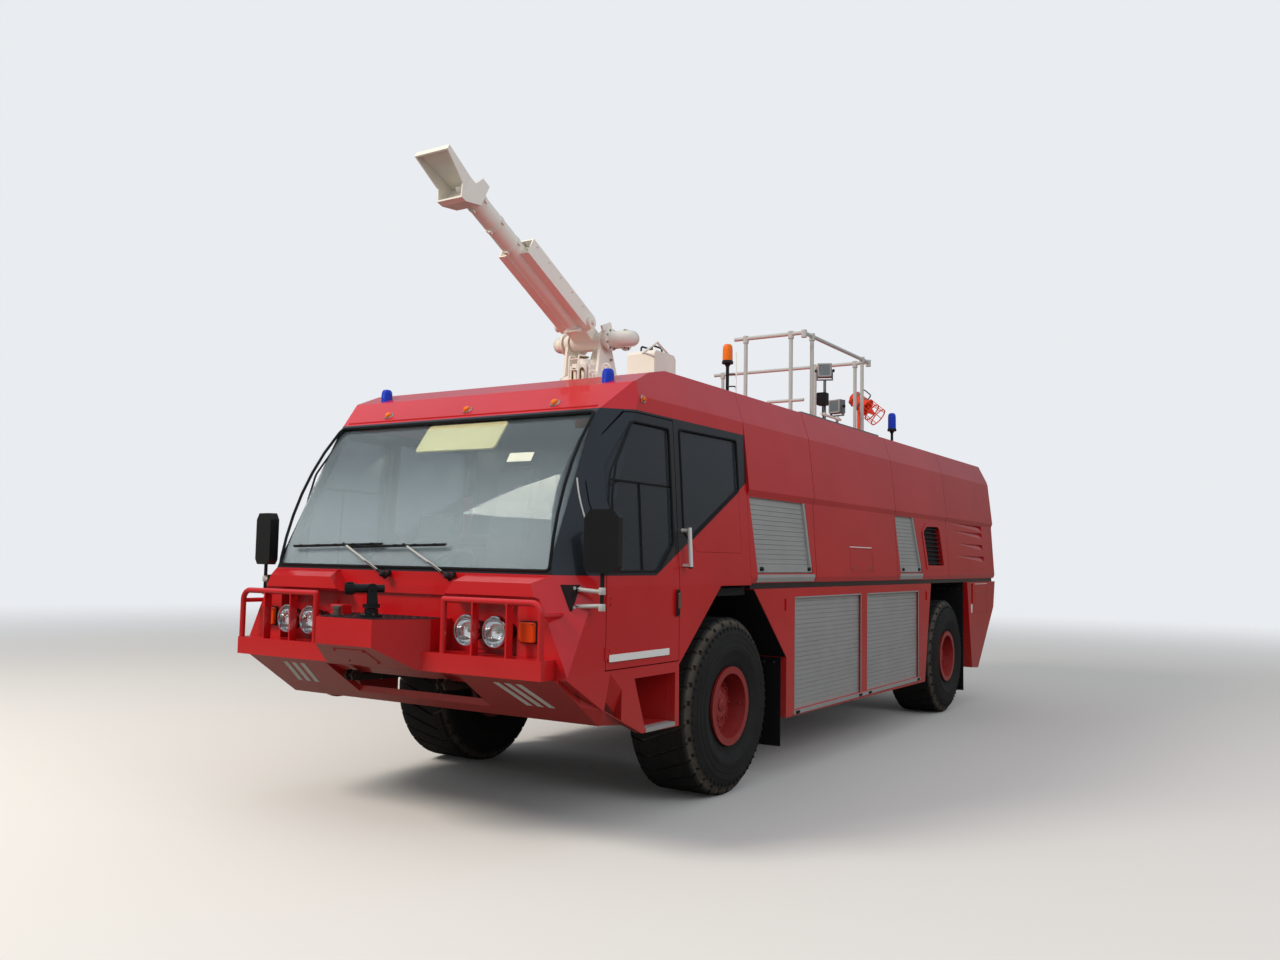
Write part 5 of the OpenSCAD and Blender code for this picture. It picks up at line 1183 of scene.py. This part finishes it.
VALVE_X, VALVE_Y = 0.17, -0.2525
lid, loops, brass = fresh(3)
plate(lid, stand(0, 1.09, 3.7345), 0.25, 0.3, 0.006, 0.015, 0.002)
for sx in (-1, 1):
    for y in (0.96, 1.22):
        bolt(lid, stand(sx * 0.105, y, 3.74), 0.012)
piece("turret_tail_box_lid", lid, turret_enamel)
for x in (-0.06, 0.06):
    sweep(loops, bent([at(x, 1.0, 3.738), at(x, 1.0, 3.8), at(x, 1.18, 3.8), at(x, 1.18, 3.738)], 0.03), 0.009, 10)
piece("turret_tail_box_grips", loops, black_plastic)
for x in (0.13, 0.21):
    sweep(brass, bent([at(x, -0.318, 3.35), at(x, -0.352, 3.35), at(x, -0.352, 3.225), at(x - 0.01, -0.3, 3.195)],
        0.016), 0.008, 10)
    revolve(brass, "8,-10 13.5,-9 13.5,9 8,10", on(x, -0.33, 3.35, (0, 1, 0)), 6, loop=True)
revolve(brass, "36,-5 44,-3 44,3 36,5", stand(VALVE_X, VALVE_Y, 3.462), 32, loop=True)
revolve(brass, "0,3438 8,3438 8,3466 0,3468", stand(VALVE_X, VALVE_Y, 0), 12)
for x, y in circle(3, 0.04):
    sweep(brass, [at(VALVE_X, VALVE_Y, 3.462), at(VALVE_X + x, VALVE_Y + y, 3.462)], 0.003, 6)
piece("turret_valve_pipes", brass, tan_brass)
cage, hand_rings = fresh(2)
for x in (0.118, 0.212):
    sweep(cage, bent([at(x, -0.385, roof_height(x) - 0.004), at(x, -0.385, 3.455), at(x, -0.3, 3.462)], 0.025), 0.007,
        10)
for z in (3.245, 3.335, 3.425):
    sweep(cage, [at(0.118, -0.385, z), at(0.212, -0.385, z)], 0.005, 8)
for x, z in ((0.43, 3.345), (0.3, 3.3)):
    sweep(cage, [at(x, -0.29, roof_height(x) - 0.004), at(x, -0.29, z - 0.034)], 0.01, 10)
    revolve(cage, "0,-20 17,-20 19,-16 19,16 17,20 0,20", stand(x, -0.29, z - 0.052), 6)
    wheel_at = on(x, -0.3, z, (0.25, -1, 0))
    revolve(hand_rings, "31,-5 38,-4 40,0 38,4 31,5", wheel_at, 28, loop=True)
    for k in range(3):
        a = 2 * pi * k / 3 + 0.5
        sweep(hand_rings, [wheel_at @ Vector((0, 0, 0)), wheel_at @ Vector((0.033 * cos(a), 0.033 * sin(a), 0))],
            0.004, 8)
    sweep(hand_rings, [wheel_at @ Vector((0, 0, 0.006)), wheel_at @ Vector((0, 0, -0.012)), at(x, -0.29, z - 0.034)],
        0.006, 8)
piece("turret_valve_cage", cage, turret_enamel)
piece("turret_hand_wheels", hand_rings, turret_enamel)
print("turret details made")

# %% [markdown]
# ## Cab interior
# The crew's seats are foam pads in cloth on moulded boxes. A pad is stitched from flat panels and filled, so its faces
# crown and its sides pull in between the corners. It is made here the same way: a flat-panelled pad is remeshed, blown
# up a little by the cloth solver with its travel capped, and then its sewn channels are pressed in. One cushion and
# one back are simulated, and the five seats share their shapes.

# %% Seat pads
PAD_VOXEL = 0.012


def evaluated_copy(source, name):
    """A new mesh with the modifiers of `source` applied."""
    graph = bpy.context.evaluated_depsgraph_get()
    return bpy.data.meshes.new_from_object(source.evaluated_get(graph), depsgraph=graph)


def pad_mesh(name, width, depth, height, travel, channels):
    """A filled pad about the origin: blown up from flat panels, then channelled along local X."""
    build = bmesh.new()
    bmesh.ops.create_cube(build, size=1.0)
    for vert in build.verts:
        vert.co = Vector((vert.co.x * (width - 2 * travel), vert.co.y * (depth - 2 * travel),
            vert.co.z * (height - 2 * travel)))
    bmesh.ops.bevel(build, geom=build.edges[:] + build.verts[:], offset=height * 0.28, segments=3, affect="EDGES",
        profile=0.6)
    start = bpy.data.meshes.new(name + "_start")
    build.to_mesh(start)
    build.free()
    body = show(name + "_start", start)
    remesh = body.modifiers.new("voxels", "REMESH")
    remesh.mode = "VOXEL"
    remesh.voxel_size = PAD_VOXEL
    remesh.use_smooth_shade = True
    mesh = evaluated_copy(body, name)
    body.modifiers.clear()
    body.data = mesh
    rest = [v.co.copy() for v in mesh.vertices]
    cloth = body.modifiers.new("filling", "CLOTH")
    cloth.settings.use_pressure = True
    cloth.settings.uniform_pressure_force = 4.0
    cloth.settings.effector_weights.gravity = 0.0
    scene = bpy.context.scene
    for frame_number in range(1, 21):
        scene.frame_set(frame_number)
    blown = evaluated_copy(body, name + "_blown")
    for vert, old in zip(blown.vertices, rest):
        moved = vert.co - old
        if moved.length > travel:
            vert.co = old + moved.normalized() * travel
    body.modifiers.clear()
    body.data = mesh = blown
    scene.frame_set(1)
    for vert in mesh.vertices:
        out = vert.normal.z
        if out <= 0.3:
            continue
        press = sum((max(0.0, 1 - abs(vert.co.y - channel) / 0.018) ** 2 for channel in channels))
        side = max(0.0, 1 - abs(abs(vert.co.x) - width * 0.34) / 0.018) ** 2
        vert.co.z -= 0.009 * min(1.0, press + side) * out
    bpy.data.objects.remove(body)
    for face in mesh.polygons:
        face.use_smooth = True
    mesh.materials.clear()
    mesh.materials.append(seat_cloth)
    return mesh


cushion_mesh = pad_mesh("seat_cushion", 0.47, 0.47, 0.118, 0.01, (-0.12, 0.0, 0.12))
back_mesh = pad_mesh("seat_back", 0.452, 0.7, 0.106, 0.01, (-0.24, -0.12, 0.0, 0.12))
seats = mm("-760,-1330,1100 0,-1330,1100 760,-1330,1100 -760,-310,1580 760,-310,1580")
for number, (x, y, z) in enumerate(seats, 1):
    cushion, back = show("seat_cushion_%d" % number, cushion_mesh), show("seat_back_%d" % number, back_mesh)
    cushion.matrix_world = stand(x, y, z + 0.341)
    back.matrix_world = stand(x, y + 0.23, z + 0.36) @ spin(-12, "X") @ shift(0, 0.055, 0.362) @ spin(90, "X")
    for pad in (cushion, back):
        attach(pad, "root")
        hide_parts("seats")
    pedestal, piping = fresh(2)
    box = stand(x, y, z)
    plate(pedestal, box, 0.42, 0.4, 0.262, 0.03, 0.012)
    plate(pedestal, box @ shift(0, 0, 0.255), 0.44, 0.43, 0.028, 0.03, 0.006)
    for side in (-1, 1):
        prism(pedestal, "-180,40 200,40 262,120 255,175 205,150 150,85 -180,75",
            on(x + side * 0.238, y, z + 0.24, (1, 0, 0)) @ shift(0, 0, -0.006), 0.012, 0.002)
    piece("seat_pedestal_%d" % number, pedestal, cab_plastic, stands_for="seats")
    for pad, seam in ((cushion, rounded(0.462, 0.462, 0.04)), (back, rounded(0.444, 0.692, 0.05))):
        sweep(piping, [pad.matrix_world @ Vector((a, b, 0)) for a, b in seam], 0.005, 6, loop=True)
    piece("seat_piping_%d" % number, piping, hose_rubber, stands_for="seats")
print("seats:", len(seats), "pads each of", len(cushion_mesh.polygons), "and", len(back_mesh.polygons), "faces")

# %% [markdown]
# The dashboard gets its round instruments, a steering wheel cap and rocker switches, and the sun visor hangs on two
# arms from the screen's header. These are what the eye finds behind the windscreen.

# %% Dashboard and visor
dials, faces, switches, visor, visor_arms = fresh(5)
DASH_OUT = Vector((0, 0.768, 0.64))
for k, (x, r) in enumerate(
        ((-0.23, 0.034), (-0.14, 0.042), (-0.04, 0.05), (0.075, 0.05), (0.18, 0.042), (0.265, 0.034))):
    spot = on(x, -1.79, 1.6, DASH_OUT)
    revolve(dials, [(r * 0.86, -0.002), (r, -0.002), (r, 0.008), (r * 0.93, 0.012), (r * 0.86, 0.008)], spot, 32,
        loop=True)
    revolve(faces, [(0, -0.001), (r * 0.87, -0.001), (r * 0.87, 0.003), (0.006, 0.003), (0.005, 0.007), (0, 0.007)],
        spot, 32)
    needle = spot @ spin(200 + 37 * k, "Z")
    prism(faces, [(-0.004, -0.002), (r * 0.7, -0.0006), (r * 0.7, 0.0006), (-0.004, 0.002)],
        needle @ shift(0, 0, 0.004), 0.0015)
for x0 in (-0.62, 0.42):
    for k in range(8):
        spot = on(x0 + 0.034 * k, -1.786, 1.595, DASH_OUT)
        plate(switches, spot, 0.026, 0.044, 0.006, 0.004, 0.001)
        plate(switches, spot @ shift(0, 0, 0.005) @ spin(9, "X"), 0.02, 0.036, 0.006, 0.003, 0.001)
piece("dashboard_dial_rings", dials, chrome)
piece("dashboard_dial_faces", faces, turret_enamel)
piece("dashboard_switches", switches, black_plastic)
cap = bmesh.new()
revolve(cap, "0,10 52,10 55,16 45,28 20,34 0,35", stand(0, -1.64, 1.7) @ spin(38, "X"), 32)
piece("steering_wheel_cap", cap, black_plastic)
top_edge, foot_edge = (Vector((0, -1.552, 2.745)), Vector((0, -1.708, 2.535)))
board = top_edge - foot_edge
panel = on(0.09, (top_edge.y + foot_edge.y) / 2, (top_edge.z + foot_edge.z) / 2, (0, -board.z, board.y))
plate(visor, panel, 0.76, board.length, 0.014, 0.03, 0.005)
piece("sun_visor", visor, beige_vinyl)
sweep(visor_arms, [at(-0.3, -1.545, 2.752), at(0.48, -1.545, 2.752)], 0.006, 10)
for x in (-0.2, 0.38):
    sweep(visor_arms, [at(x, -1.545, 2.752), at(x, -1.528, 2.79)], 0.007, 10)
    revolve(visor_arms, "0,-6 16,-6 16,4 0,4", stand(x, -1.528, 2.784), 16)
piece("sun_visor_rod", visor_arms, black_plastic)
print("cab interior made")
